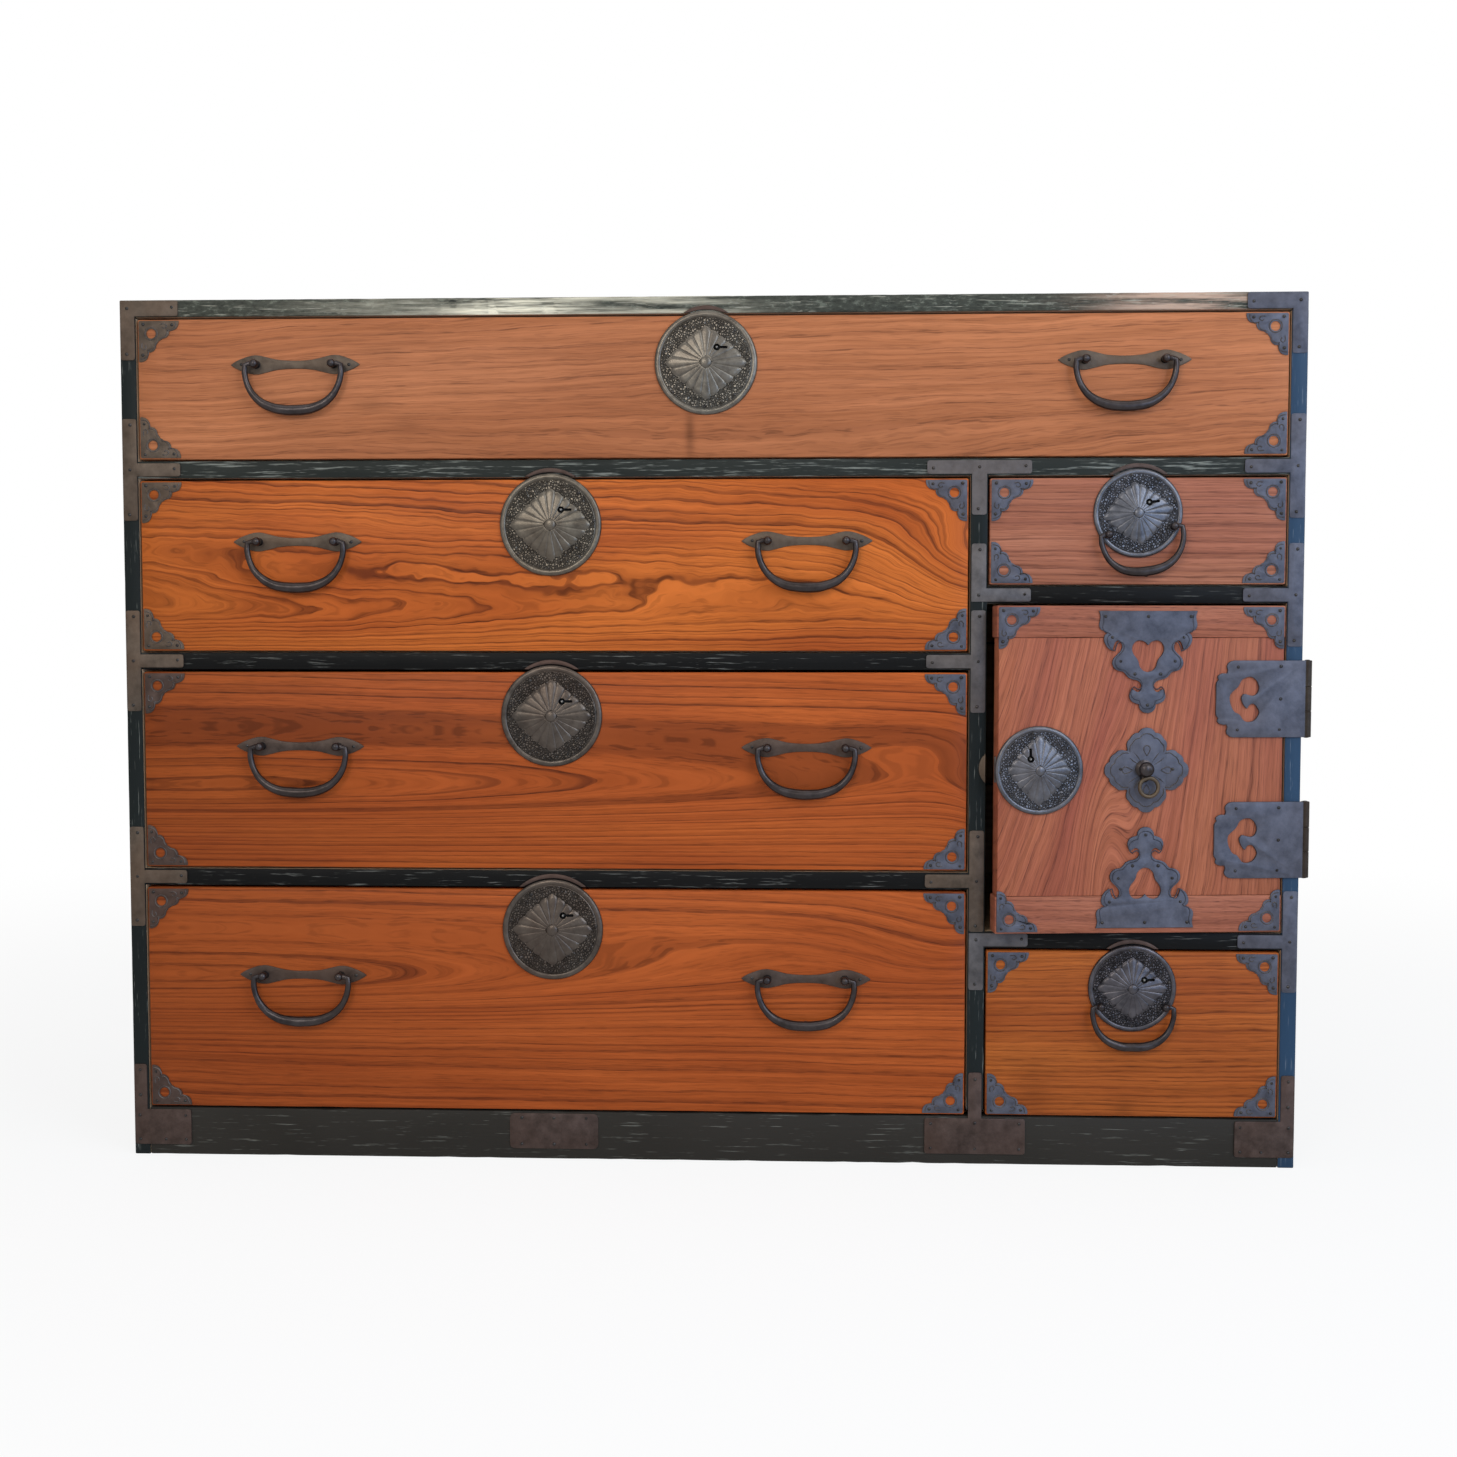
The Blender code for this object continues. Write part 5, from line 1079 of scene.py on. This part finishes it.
def lock_disc(radius, sides=240, petals=20):
    """The embossed disc, facing out from a back plane at 0, with its centre at the origin."""
    band_out, petal_out, power = 0.0026, 0.0032, 1.22
    rings = [("round", reach, out) for reach, out in (
        (1.0, 0.0), (1.0, 0.0011), (0.992, 0.0019), (0.976, 0.0026), (0.945, 0.0030), (0.912, 0.0029),
        (0.897, 0.0025), (0.889, 0.0020), (0.881, 0.0022), (0.872, band_out),
    )]
    rings += [("band", 1 - step / 6, 0) for step in range(1, 7)]
    rings += [("petal", 1.0, 0.0007), ("petal", 0.975, 0.00025), ("petal", 0.93, 0)]
    rings += [("petal", 0.93 - 0.75 * step / 13, 0) for step in range(1, 14)]
    rings += [("round", reach, out) for reach, out in (
        (0.137, 0.0069), (0.127, 0.0061), (0.118, 0.0062), (0.108, 0.0073), (0.090, 0.0079), (0.050, 0.0083),
    )]
    rows = [[] for ring in rings]
    for angle in around(sides):
        c, s = cos(angle), sin(angle)
        swing = 2 * ((angle / (2 * pi) * petals + 0.5) % 1.0) - 1
        edge = (0.775 - 0.075 * abs(s)) * (abs(c) ** power + abs(s) ** power) ** (-1 / power)
        edge *= 1 - 0.055 * swing ** 4
        for row, (kind, reach, height) in zip(rows, rings):
            away, out = reach, height
            if kind == "band":
                foot = edge + 0.012
                away = foot + (0.872 - foot) * reach
                out = band_out + 0.0003 * noise.noise(Vector((c * away, s * away, 0)) * 14)
            elif kind == "petal":
                away = edge * reach
                ridge = 0.00036 * (1 - swing ** 6) * min(reach + 0.25, 1)
                out = petal_out + 0.0044 * (1 - reach) + ridge - height
            row.append((away * radius * c, -out, away * radius * s))
    mesh = skinned([rows + [[(0, -0.0085, 0)]]])
    for index, (kind, reach, height) in enumerate(rings[1:]):
        if kind == "band":
            for face in mesh.polygons[index * sides:(index + 1) * sides]:
                face.material_index = 1
    return mesh


def keyhole_loop(place, pin_radius=0.0034, slot=0.0106, half_slot=0.0013, sides=28):
    """A round hole with a straight slot to its right."""
    start = asin(half_slot / pin_radius)
    loop = []
    for step in range(sides + 1):
        angle = start + (2 * pi - 2 * start) * step / sides
        loop.append((pin_radius * cos(angle), pin_radius * sin(angle)))
    loop += [(slot - 0.0006, -half_slot), (slot, -half_slot + 0.0006), (slot, half_slot - 0.0006),
             (slot - 0.0006, half_slot)]
    return [(place[0] + x, place[1] + z) for x, z in loop]


seat_gap = 0.0003
lock_nails = ((0.86, 5), (0.83, 48), (0.815, 121), (0.845, 167), (0.86, 221), (0.85, 268), (0.83, 312))
small_nails = ((0.85, 10), (0.875, 53), (0.88, 93), (0.87, 132), (0.856, 181), (0.866, 271))
locks = {
    "top_drawer": (0.0, 0.804, 0.051, 0.0, "top"), "upper_left_drawer": (-0.15575, 0.6445, 0.051, 0.0, "left"),
    "middle_left_drawer": (-0.15575, 0.453, 0.051, 0.0, "low"),
    "bottom_left_drawer": (-0.15575, 0.2365, 0.051, 0.0, "low"),
    "upper_right_drawer": (0.42675, 0.6545, 0.0437, radians(7.3), "right"),
    "bottom_right_drawer": (0.42675, 0.1813, 0.0437, 0.0, "right_low"),
    "door": (0.3279, 0.4015, 0.0437, pi / 2, "right"),
}
pin_x, pin_y = 0.5952, face_y + 0.0022
door_turn = Matrix.Rotation(radians(5), 4, "Z")
hang_door = shift(pin_x, pin_y, 0) @ door_turn @ shift(-pin_x, -pin_y, 0)
chased = {name: chased_finish("chased_iron_" + name, finish) for name, finish in lock_finishes.items()}
for name, (across, up, radius, lean, tone) in locks.items():
    small = name == "door" or name in small_drawers
    keyhole = (0.26 * radius, 0.21 * radius) if small else (0.215 * radius, 0.29 * radius)
    seat = shift(across, face_y - seat_gap, up) @ Matrix.Rotation(-lean, 4, "Y")
    if name == "door":
        seat = hang_door @ seat
    knife = sheet_iron([keyhole_loop(keyhole)], 0.004, 0.020, rim=0.00001)
    disc = cut(lock_disc(radius), knife, (lock_finishes[tone], chased[tone]))
    disc.transform(seat)
    shown(name + "_lock_disc", disc, name, (), [name + "_lock_plate"], smooth=32)
    # A black sheet behind the keyhole: painted shadow.
    shadow_sheet = sheet_iron([placed(eased([
        (-0.0050, -0.0050, 0.002), (0.0120, -0.0050, 0.002), (0.0120, 0.0050, 0.002), (-0.0050, 0.0050, 0.002),
    ]), *keyhole)], 0.0002, 0.0006, rim=0.0001)
    ironwork(name + "_keyhole_shadow_sheet", shadow_sheet, keyhole_painted_shadow, name, smooth=35, turn=seat)
    pin = turned_piece(((0.0014, 0.0003), (0.0013, 0.0052), (0.0009, 0.0060), (0.0004, 0.0062)), 14)
    pin_place = seat @ shift(keyhole[0], 0, keyhole[1])
    ironwork(name + "_keyhole_pin", pin, pin_iron, name, smooth=35, turn=pin_place)
    nailed(name + "_lock_nails", [
        (reach * radius * cos(radians(angle)), -0.0024, reach * radius * sin(radians(angle)))
        for reach, angle in (small_nails if small else lock_nails)
    ], name, seat)

# Lock bolts and keepers: a flat bolt slides up out of each lock into the rail over it, the door's into the divider.
# A crescent of thicker iron lies on the rail, and shields the bolt's slot.

for name in locks:
    node = name + "_lock_bolt"
    low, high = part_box(node)
    turn = Matrix()
    if name == "door":
        turn = shift(*(low + high) / 2) @ door_turn
        low, high = (-0.015, -0.0015, -0.013), (0.015, 0.0015, 0.013)
    ironwork(node + "_shown", planed_board(low, high, 0.0006), iron_grey, node, [node], smooth=35, turn=turn)


def crescent(edge, radius, rise, end_width=0.005, steps=26):
    """A keeper over a lock disc whose centre is at the origin, on a board whose edge lies that far up."""
    base = edge + seat_gap
    clear = radius + 0.0012
    inner = acos(min(base / clear, 1))
    half_width = clear * sin(inner) + end_width
    outer_radius = (half_width ** 2 + rise ** 2) / (2 * rise)
    opening = asin(half_width / outer_radius)
    middle_up = base + rise - outer_radius
    loop = []
    for step in range(steps + 1):
        angle = pi / 2 - opening + 2 * opening * step / steps
        loop.append((outer_radius * cos(angle), middle_up + outer_radius * sin(angle)))
    if inner:
        for step in range(steps + 1):
            angle = pi / 2 + inner - 2 * inner * step / steps
            loop.append((clear * cos(angle), clear * sin(angle)))
    return loop


keeper_back, keeper_thick = face_y + 0.0006, 0.0018
for name, underside in (
    ("top_drawer", 0.853), ("upper_left_drawer", 0.692), ("middle_left_drawer", 0.4995),
    ("bottom_left_drawer", 0.2795), ("upper_right_drawer", 0.692), ("bottom_right_drawer", 0.2205),
):
    across, up, radius = locks[name][:3]
    edge = underside - up
    loop = placed(crescent(edge, radius, radius + 0.0052 - edge), across, up)
    ironwork(name + "_keeper", sheet_iron([loop], keeper_back, keeper_thick, 0.0005), iron_foot)
across, up, radius = locks["door"][:3]
divider_right = 0.2795
turned_crescent = [(-z, x) for x, z in crescent(across - divider_right, radius, 0.0068, end_width=0.015)]
loop = placed(turned_crescent, across, up)
ironwork("door_keeper", sheet_iron([loop], keeper_back, keeper_thick, 0.0005), handle_iron)

# Small bails: on the right-hand drawers the lock disc carries the two posts, and one bail hangs round its foot.
# The upper one has been put on a little askew.

small_post_spacing, pivot_below = 0.064, 0.0173
for number, name in enumerate(small_drawers):
    across, up, radius, lean = locks[name][:4]
    seat = shift(across, face_y, up) @ Matrix.Rotation(-lean, 4, "Y") @ shift(0, 0, -pivot_below)
    add_posts(name + "_posts", name, seat, small_post_spacing, 0.80)
    bail = forged_bail(0.0405, 0.0405, 0.0031, small_post_spacing, seed=11 + number)
    place = seat @ shift(0, -bail_out, 0)
    ironwork(name + "_bail_shown", bail, bail_iron, name + "_bail", [name + "_bail"], 60, place)
    stud = turned_piece(stud_profile, 14, 0.8)
    ironwork(name + "_stud", stud, handle_iron, name, smooth=50, turn=seat @ shift(0.001, 0, -0.0432))

# Door board: an upright board with a cross-grained end tongued to its top and foot, hung a little open.
# The ends stand a hair proud of the board, and a mortise in its edge takes the lock bolt.

door_left, door_right, door_low, door_high = 0.2855, 0.572, 0.2395, 0.5635
door_thick = 0.026
for node, z_low, z_high, back, finish in (
    ("door_board", 0.2765, 0.532, 0.0007, door_plank), ("door_top_end", 0.5321, door_high, 0.0, door_end_wood),
    ("door_bottom_end", door_low, 0.2764, 0.0, door_end_wood),
):
    board = planed_board(
        (door_left + 3 * back, face_y + back, z_low), (door_right - back, face_y + door_thick - back, z_high),
        edge=0.0010, step=0.02, wear=0.0005,
    )
    board.transform(hang_door)
    if node == "door_board":
        low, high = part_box("door_lock_bolt")
        room = planed_board((-0.0260, -0.0020, -0.0135), (0.0155, 0.0020, 0.0135), edge=0.0001)
        room.transform(shift(*(low + high) / 2) @ door_turn)
        board = cut(board, room, (finish,))
    shown(node + "_shown", board, "door", () if node == "door_board" else (finish,), [node])
door_box = (Vector((door_left, face_y, door_low)), Vector((door_right, face_y + door_thick, door_high)))
add_corner_plates("door", "door", door_box, (iron_blue_reflection, iron_blue_reflection), hang_door)

# Door ornaments: one hangs from the top edge and one rises from the foot, cut to lobes with a pierced heart.
# Their rims are bevelled, and ten nails hold each.

ornament_x = 0.43475
ornament_edge = (
    ((1.00, 0.00), (0.97, 0.06), (0.995, 0.14), (0.955, 0.185), (0.89, 0.195), (0.815, 0.215)),
    ((0.815, 0.215), (0.875, 0.235), (0.895, 0.28), (0.865, 0.325), (0.805, 0.365), (0.725, 0.39)),
    ((0.725, 0.39), (0.70, 0.345), (0.665, 0.305), (0.61, 0.29), (0.555, 0.305), (0.525, 0.335), (0.53, 0.37),
     (0.575, 0.405), (0.64, 0.435), (0.70, 0.47), (0.72, 0.515), (0.68, 0.56), (0.60, 0.585), (0.50, 0.595),
     (0.44, 0.625), (0.395, 0.65), (0.305, 0.67), (0.215, 0.68), (0.145, 0.705), (0.12, 0.75), (0.16, 0.785),
     (0.225, 0.79), (0.29, 0.765)),
    ((0.29, 0.765), (0.345, 0.79), (0.365, 0.84), (0.32, 0.885), (0.235, 0.905), (0.17, 0.915)),
    ((0.17, 0.915), (0.155, 0.955), (0.09, 0.99), (0.0, 1.0)),
)
ornament_hole = (
    (0.0, 0.335), (0.06, 0.305), (0.14, 0.290), (0.235, 0.295), (0.305, 0.33), (0.325, 0.38), (0.285, 0.43),
    (0.225, 0.465), (0.19, 0.50), (0.165, 0.545), (0.09, 0.585), (0.0, 0.598),
)
ornament_nails = (
    (-0.0425, 0.0055), (0.0425, 0.0055), (0.0, 0.0055), (-0.0355, 0.026), (0.0355, 0.026), (-0.0270, 0.0495),
    (0.0270, 0.0495), (-0.0128, 0.062), (0.0128, 0.062), (0.0, 0.0926),
)
half_width, length = 0.049, 0.1005
right_edge = []
for run in ornament_edge:
    right_edge += flowing(scaled(run, half_width, -length))[:-1]
right_edge += [(0.0, -length)]
right_hole = flowing(scaled(ornament_hole, half_width, -length))
whole_edge = right_edge + [(-x, z) for x, z in right_edge[-2::-1]]
whole_hole = right_hole + [(-x, z) for x, z in right_hole[-2:0:-1]]
plate_back, plate_front = face_y - seat_gap + 0.0009, face_y - seat_gap - 0.0015
for name, up, flip in (
    ("door_ornament_upper", door_high - 0.0052, 1), ("door_ornament_lower", door_low + 0.0052, -1),
):
    loops = [placed(loop, ornament_x, up, 1, flip) for loop in (whole_edge, whole_hole)]
    ironwork(name + "_shown", sheet_iron(loops, plate_back, 0.0024, rim=0.0006), iron_blue_reflection, "door", [name],
             turn=hang_door)
    line = drawn_in(right_edge, (0.0, -0.42 * length), 0.93)
    chasing = bead_line([placed(line, ornament_x, up, way, flip) for way in (1, -1)], plate_front)
    ironwork(name + "_chasing", chasing, iron_blue_reflection, "door", smooth=35, turn=hang_door)
    nails = [(ornament_x + x, plate_front, up - flip * z) for x, z in ornament_nails]
    nailed(name + "_nails", nails, "door", hang_door)

# Door knob: a plate of four petals, each of three lobes with cut lines, under a round knob.
# A brown iron ring hangs in the knob's lug and turns up for the fingers.

rosette_up = (door_low + door_high) / 2
rosette_radius = 0.042
petal_half = (
    ((0.0, 1.0), (0.07, 0.99), (0.14, 0.955), (0.20, 0.88)),
    ((0.20, 0.88), (0.27, 0.87), (0.345, 0.82), (0.40, 0.74)),
    ((0.40, 0.74), (0.46, 0.67), (0.475, 0.58), (0.46, 0.50), (0.46, 0.46)),
)
eighth = []
for run in petal_half:
    eighth += flowing(scaled(run, rosette_radius, rosette_radius))[:-1]
quarter = eighth + [(0.46 * rosette_radius,) * 2] + [(z, x) for x, z in reversed(eighth)][:-1]
inner_lobes = scaled(eighth[:-2], 0.86, 0.86)
drop = flowing([
    (0.0, 0.014), (0.0028, 0.019), (0.0030, 0.0225), (0.0, 0.0245), (-0.0030, 0.0225), (-0.0028, 0.019), (0.0, 0.014),
])
vein = [(0.0052, 0.0075), (0.0095, 0.0140), (0.0125, 0.0175)]
petal_lines = [inner_lobes, scaled(inner_lobes, -1, 1), drop, vein, scaled(vein, -1, 1)]
rosette_edge, rosette_lines = [], []
for turns in range(4):
    rosette_edge += quarter
    rosette_lines += petal_lines
    quarter = [(z, -x) for x, z in quarter]
    petal_lines = [[(z, -x) for x, z in line] for line in petal_lines]
rosette_front = face_y - seat_gap - 0.0017
plate = sheet_iron([placed(rosette_edge, ornament_x, rosette_up)], plate_back, 0.0026, rim=0.0008)
ironwork("door_rosette_plate", plate, iron_blue_reflection, "door", ["door_rosette"], turn=hang_door)
chasing = bead_line([placed(line, ornament_x, rosette_up) for line in rosette_lines], rosette_front)
ironwork("door_rosette_chasing", chasing, rubbed_and_highlit_iron, "door", smooth=60, turn=hang_door)
nailed("door_rosette_nails", [
    (ornament_x + x, rosette_front, rosette_up + 0.001) for x in (-0.026, 0.026)
], "door", hang_door)
knob_x = ornament_x - 0.0026
knob = turned_piece((
    (0.0090, 0.0012), (0.0088, 0.0026), (0.0066, 0.0032), (0.0046, 0.0042), (0.0042, 0.0058), (0.0056, 0.0074),
    (0.0070, 0.0092), (0.0075, 0.0112), (0.0071, 0.0132), (0.0056, 0.0150), (0.0032, 0.0161), (0.0010, 0.0165),
), 24)
place = hang_door @ shift(knob_x, face_y, rosette_up + 0.0014)
ironwork("door_rosette_knob", knob, bail_iron, "door", smooth=50, turn=place)
lug = turned_piece(((0.0040, -0.0010), (0.0041, 0.0040), (0.0038, 0.0066), (0.0024, 0.0078), (0.0008, 0.0081)), 16)
place = hang_door @ shift(knob_x, face_y, rosette_up - 0.0078)
ironwork("door_rosette_lug", lug, bail_iron, "door", smooth=50, turn=place)

ring_iron = black_iron(
    "ring_iron", (0.040, 0.031, 0.022), (0.095, 0.075, 0.052), (0.100, 0.062, 0.036), 0.5, (0.34, 0.50), 0.4, 0.7,
)
ring_radius, ring_wire = 0.0092, 0.0020
loops = []
for angle in around(40):
    thick = ring_wire * (1 + 0.12 * max(sin(angle), 0) ** 8)
    loops.append([
        ((ring_radius + thick * cos(a)) * cos(angle), thick * sin(a), (ring_radius + thick * cos(a)) * sin(angle))
        for a in around(12)
    ])
ring = skinned([loops], closed=True)
ring_low, ring_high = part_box("door_ring")
place = shift(*(ring_low + ring_high) / 2) @ shift(0.0004, 0, 0.0016) @ door_turn
ironwork("door_ring_shown", ring, ring_iron, "door_ring", ["door_ring"], 60, place)

# Hinges: a wide strap with a pierced curl lies on the door, and rolls into two knuckles round a thick pin.
# The middle knuckle belongs to the leaf that is nailed to the side of the case; the rolls are of a darker brown iron.

hinge_iron = black_iron(
    "hinge_roll_iron", (0.017, 0.014, 0.012), (0.042, 0.034, 0.027), (0.040, 0.026, 0.018), 0.55, (0.34, 0.5),
    0.6, 0.65,
)
hinge_length, hinge_half = 0.092, 0.038
roll_radius, roll_share, roll_gap = 0.0045, 0.34, 0.00005
hinge_runs = (
    ((0.84, 0.985), (0.875, 0.92), (0.885, 0.83), (0.875, 0.74), (0.885, 0.665)),
    ((0.885, 0.665), (0.935, 0.665), (0.975, 0.62), (0.985, 0.56), (0.975, 0.50)),
    ((0.975, 0.50), (1.0, 0.40), (1.0, 0.20), (1.0, 0.0)),
)
hinge_side = [(0.03, 1.0), (0.80, 1.0)]
for run in hinge_runs:
    hinge_side += flowing(run)[:-1]
hinge_edge = scaled(hinge_side + [(1.0, 0.0)], -hinge_length, hinge_half)
hinge_edge += [(x, -z) for x, z in reversed(hinge_edge[:-1])]
curl = (
    (0.66, 0.57), (0.72, 0.50), (0.765, 0.31), (0.845, 0.12), (0.845, -0.11), (0.80, -0.33), (0.745, -0.40),
    (0.695, -0.56), (0.64, -0.595), (0.575, -0.54), (0.53, -0.36), (0.56, -0.19), (0.60, -0.125), (0.64, -0.16),
    (0.665, -0.25), (0.71, -0.11), (0.725, 0.04), (0.695, 0.13), (0.64, 0.10), (0.59, 0.09), (0.55, 0.16),
    (0.535, 0.31), (0.56, 0.465), (0.61, 0.565),
)
hinge_hole = flowing(scaled(curl + curl[:1], -hinge_length, hinge_half))[:-1]
hinge_nails = ((-0.0705, 0.0315), (-0.0276, 0.0322), (-0.0276, 0.0), (-0.0705, -0.0305), (-0.0284, -0.0302))


def rolled_knuckle(low, high, lap=0.0007, sides=36):
    """A knuckle rolled of sheet iron round the pin, the sheet's end showing as a step along it."""
    rings = []
    for up, share in ((low, 0.90), (low + 0.0005, 1.0), (high - 0.0005, 1.0), (high, 0.90)):
        ring = []
        for side, angle in enumerate(around(sides, radians(-118))):
            away = (roll_radius - lap * max(1 - side / sides * 5, 0)) * share
            ring.append((pin_x + away * cos(angle), pin_y + away * sin(angle), up))
        rings.append(ring)
    return skinned([rings])


notch = hinge_half * (1 - 2 * roll_share)
side_low, side_high = 0.5903, 0.5915
for name in ("upper_hinge", "lower_hinge"):
    leaf_low, leaf_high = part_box(name + "_case_leaf")
    middle_up = (leaf_low.z + leaf_high.z) / 2
    loops = [placed(loop, pin_x, middle_up) for loop in (hinge_edge, hinge_hole)]
    leaf = sheet_iron(loops, plate_back, 0.0025, rim=0.0006)
    rolls = joined([
        rolled_knuckle(middle_up + notch + roll_gap, middle_up + hinge_half),
        rolled_knuckle(middle_up - hinge_half, middle_up - notch - roll_gap),
    ])
    ironwork(name + "_leaf", leaf, iron_blue_reflection, "door", [name + "_door_leaf"], 28, hang_door)
    nails = [(pin_x + x, face_y - seat_gap - 0.0016, middle_up + z) for x, z in hinge_nails]
    nailed(name + "_leaf_nails", nails, "door", hang_door, smooth=28)
    ironwork(name + "_door_rolls", rolls, hinge_iron, "door", smooth=28, turn=hang_door)
    ironwork(name + "_case_plate", joined([
        planed_board((side_low, pin_y + roll_radius, middle_up - hinge_half),
                     (side_high, face_y + 0.044, middle_up + hinge_half), edge=0.0004),
        planed_board((side_low, pin_y, middle_up - notch + seat_gap),
                     (side_high, pin_y + 0.012, middle_up + notch - seat_gap), edge=0.0003),
    ]), iron_blue_reflection, "case", [name + "_case_leaf"], smooth=28)
    roll = rolled_knuckle(middle_up - notch + roll_gap, middle_up + notch - roll_gap)
    ironwork(name + "_case_roll", roll, hinge_iron, smooth=28)
    heads = []
    for way in (-1, 1):
        head = turned_piece((
            (0.0021, -0.0030), (0.0021, 0.0), (0.0026, 0.0001), (0.0024, 0.0005), (0.0010, 0.0008),
        ), 16)
        end = shift(pin_x, pin_y, middle_up + way * hinge_half)
        head.transform(end @ Matrix.Rotation(-way * pi / 2, 4, "X"))
        heads.append(head)
    ironwork(name + "_pin_heads", joined(heads), bail_iron, smooth=50)
    side_nails = nail_heads([(-face_y - 0.036, 0.0, middle_up + z) for z in (-0.029, 0.0, 0.029)], rise=0.0008)
    outward = shift(0.5914, 0, 0) @ Matrix.Rotation(pi / 2, 4, "Z")
    side_nails.flip_normals()
    ironwork(name + "_side_nails", side_nails, nail_iron, smooth=35, turn=outward @ Matrix.Diagonal((-1, 1, 1, 1)))
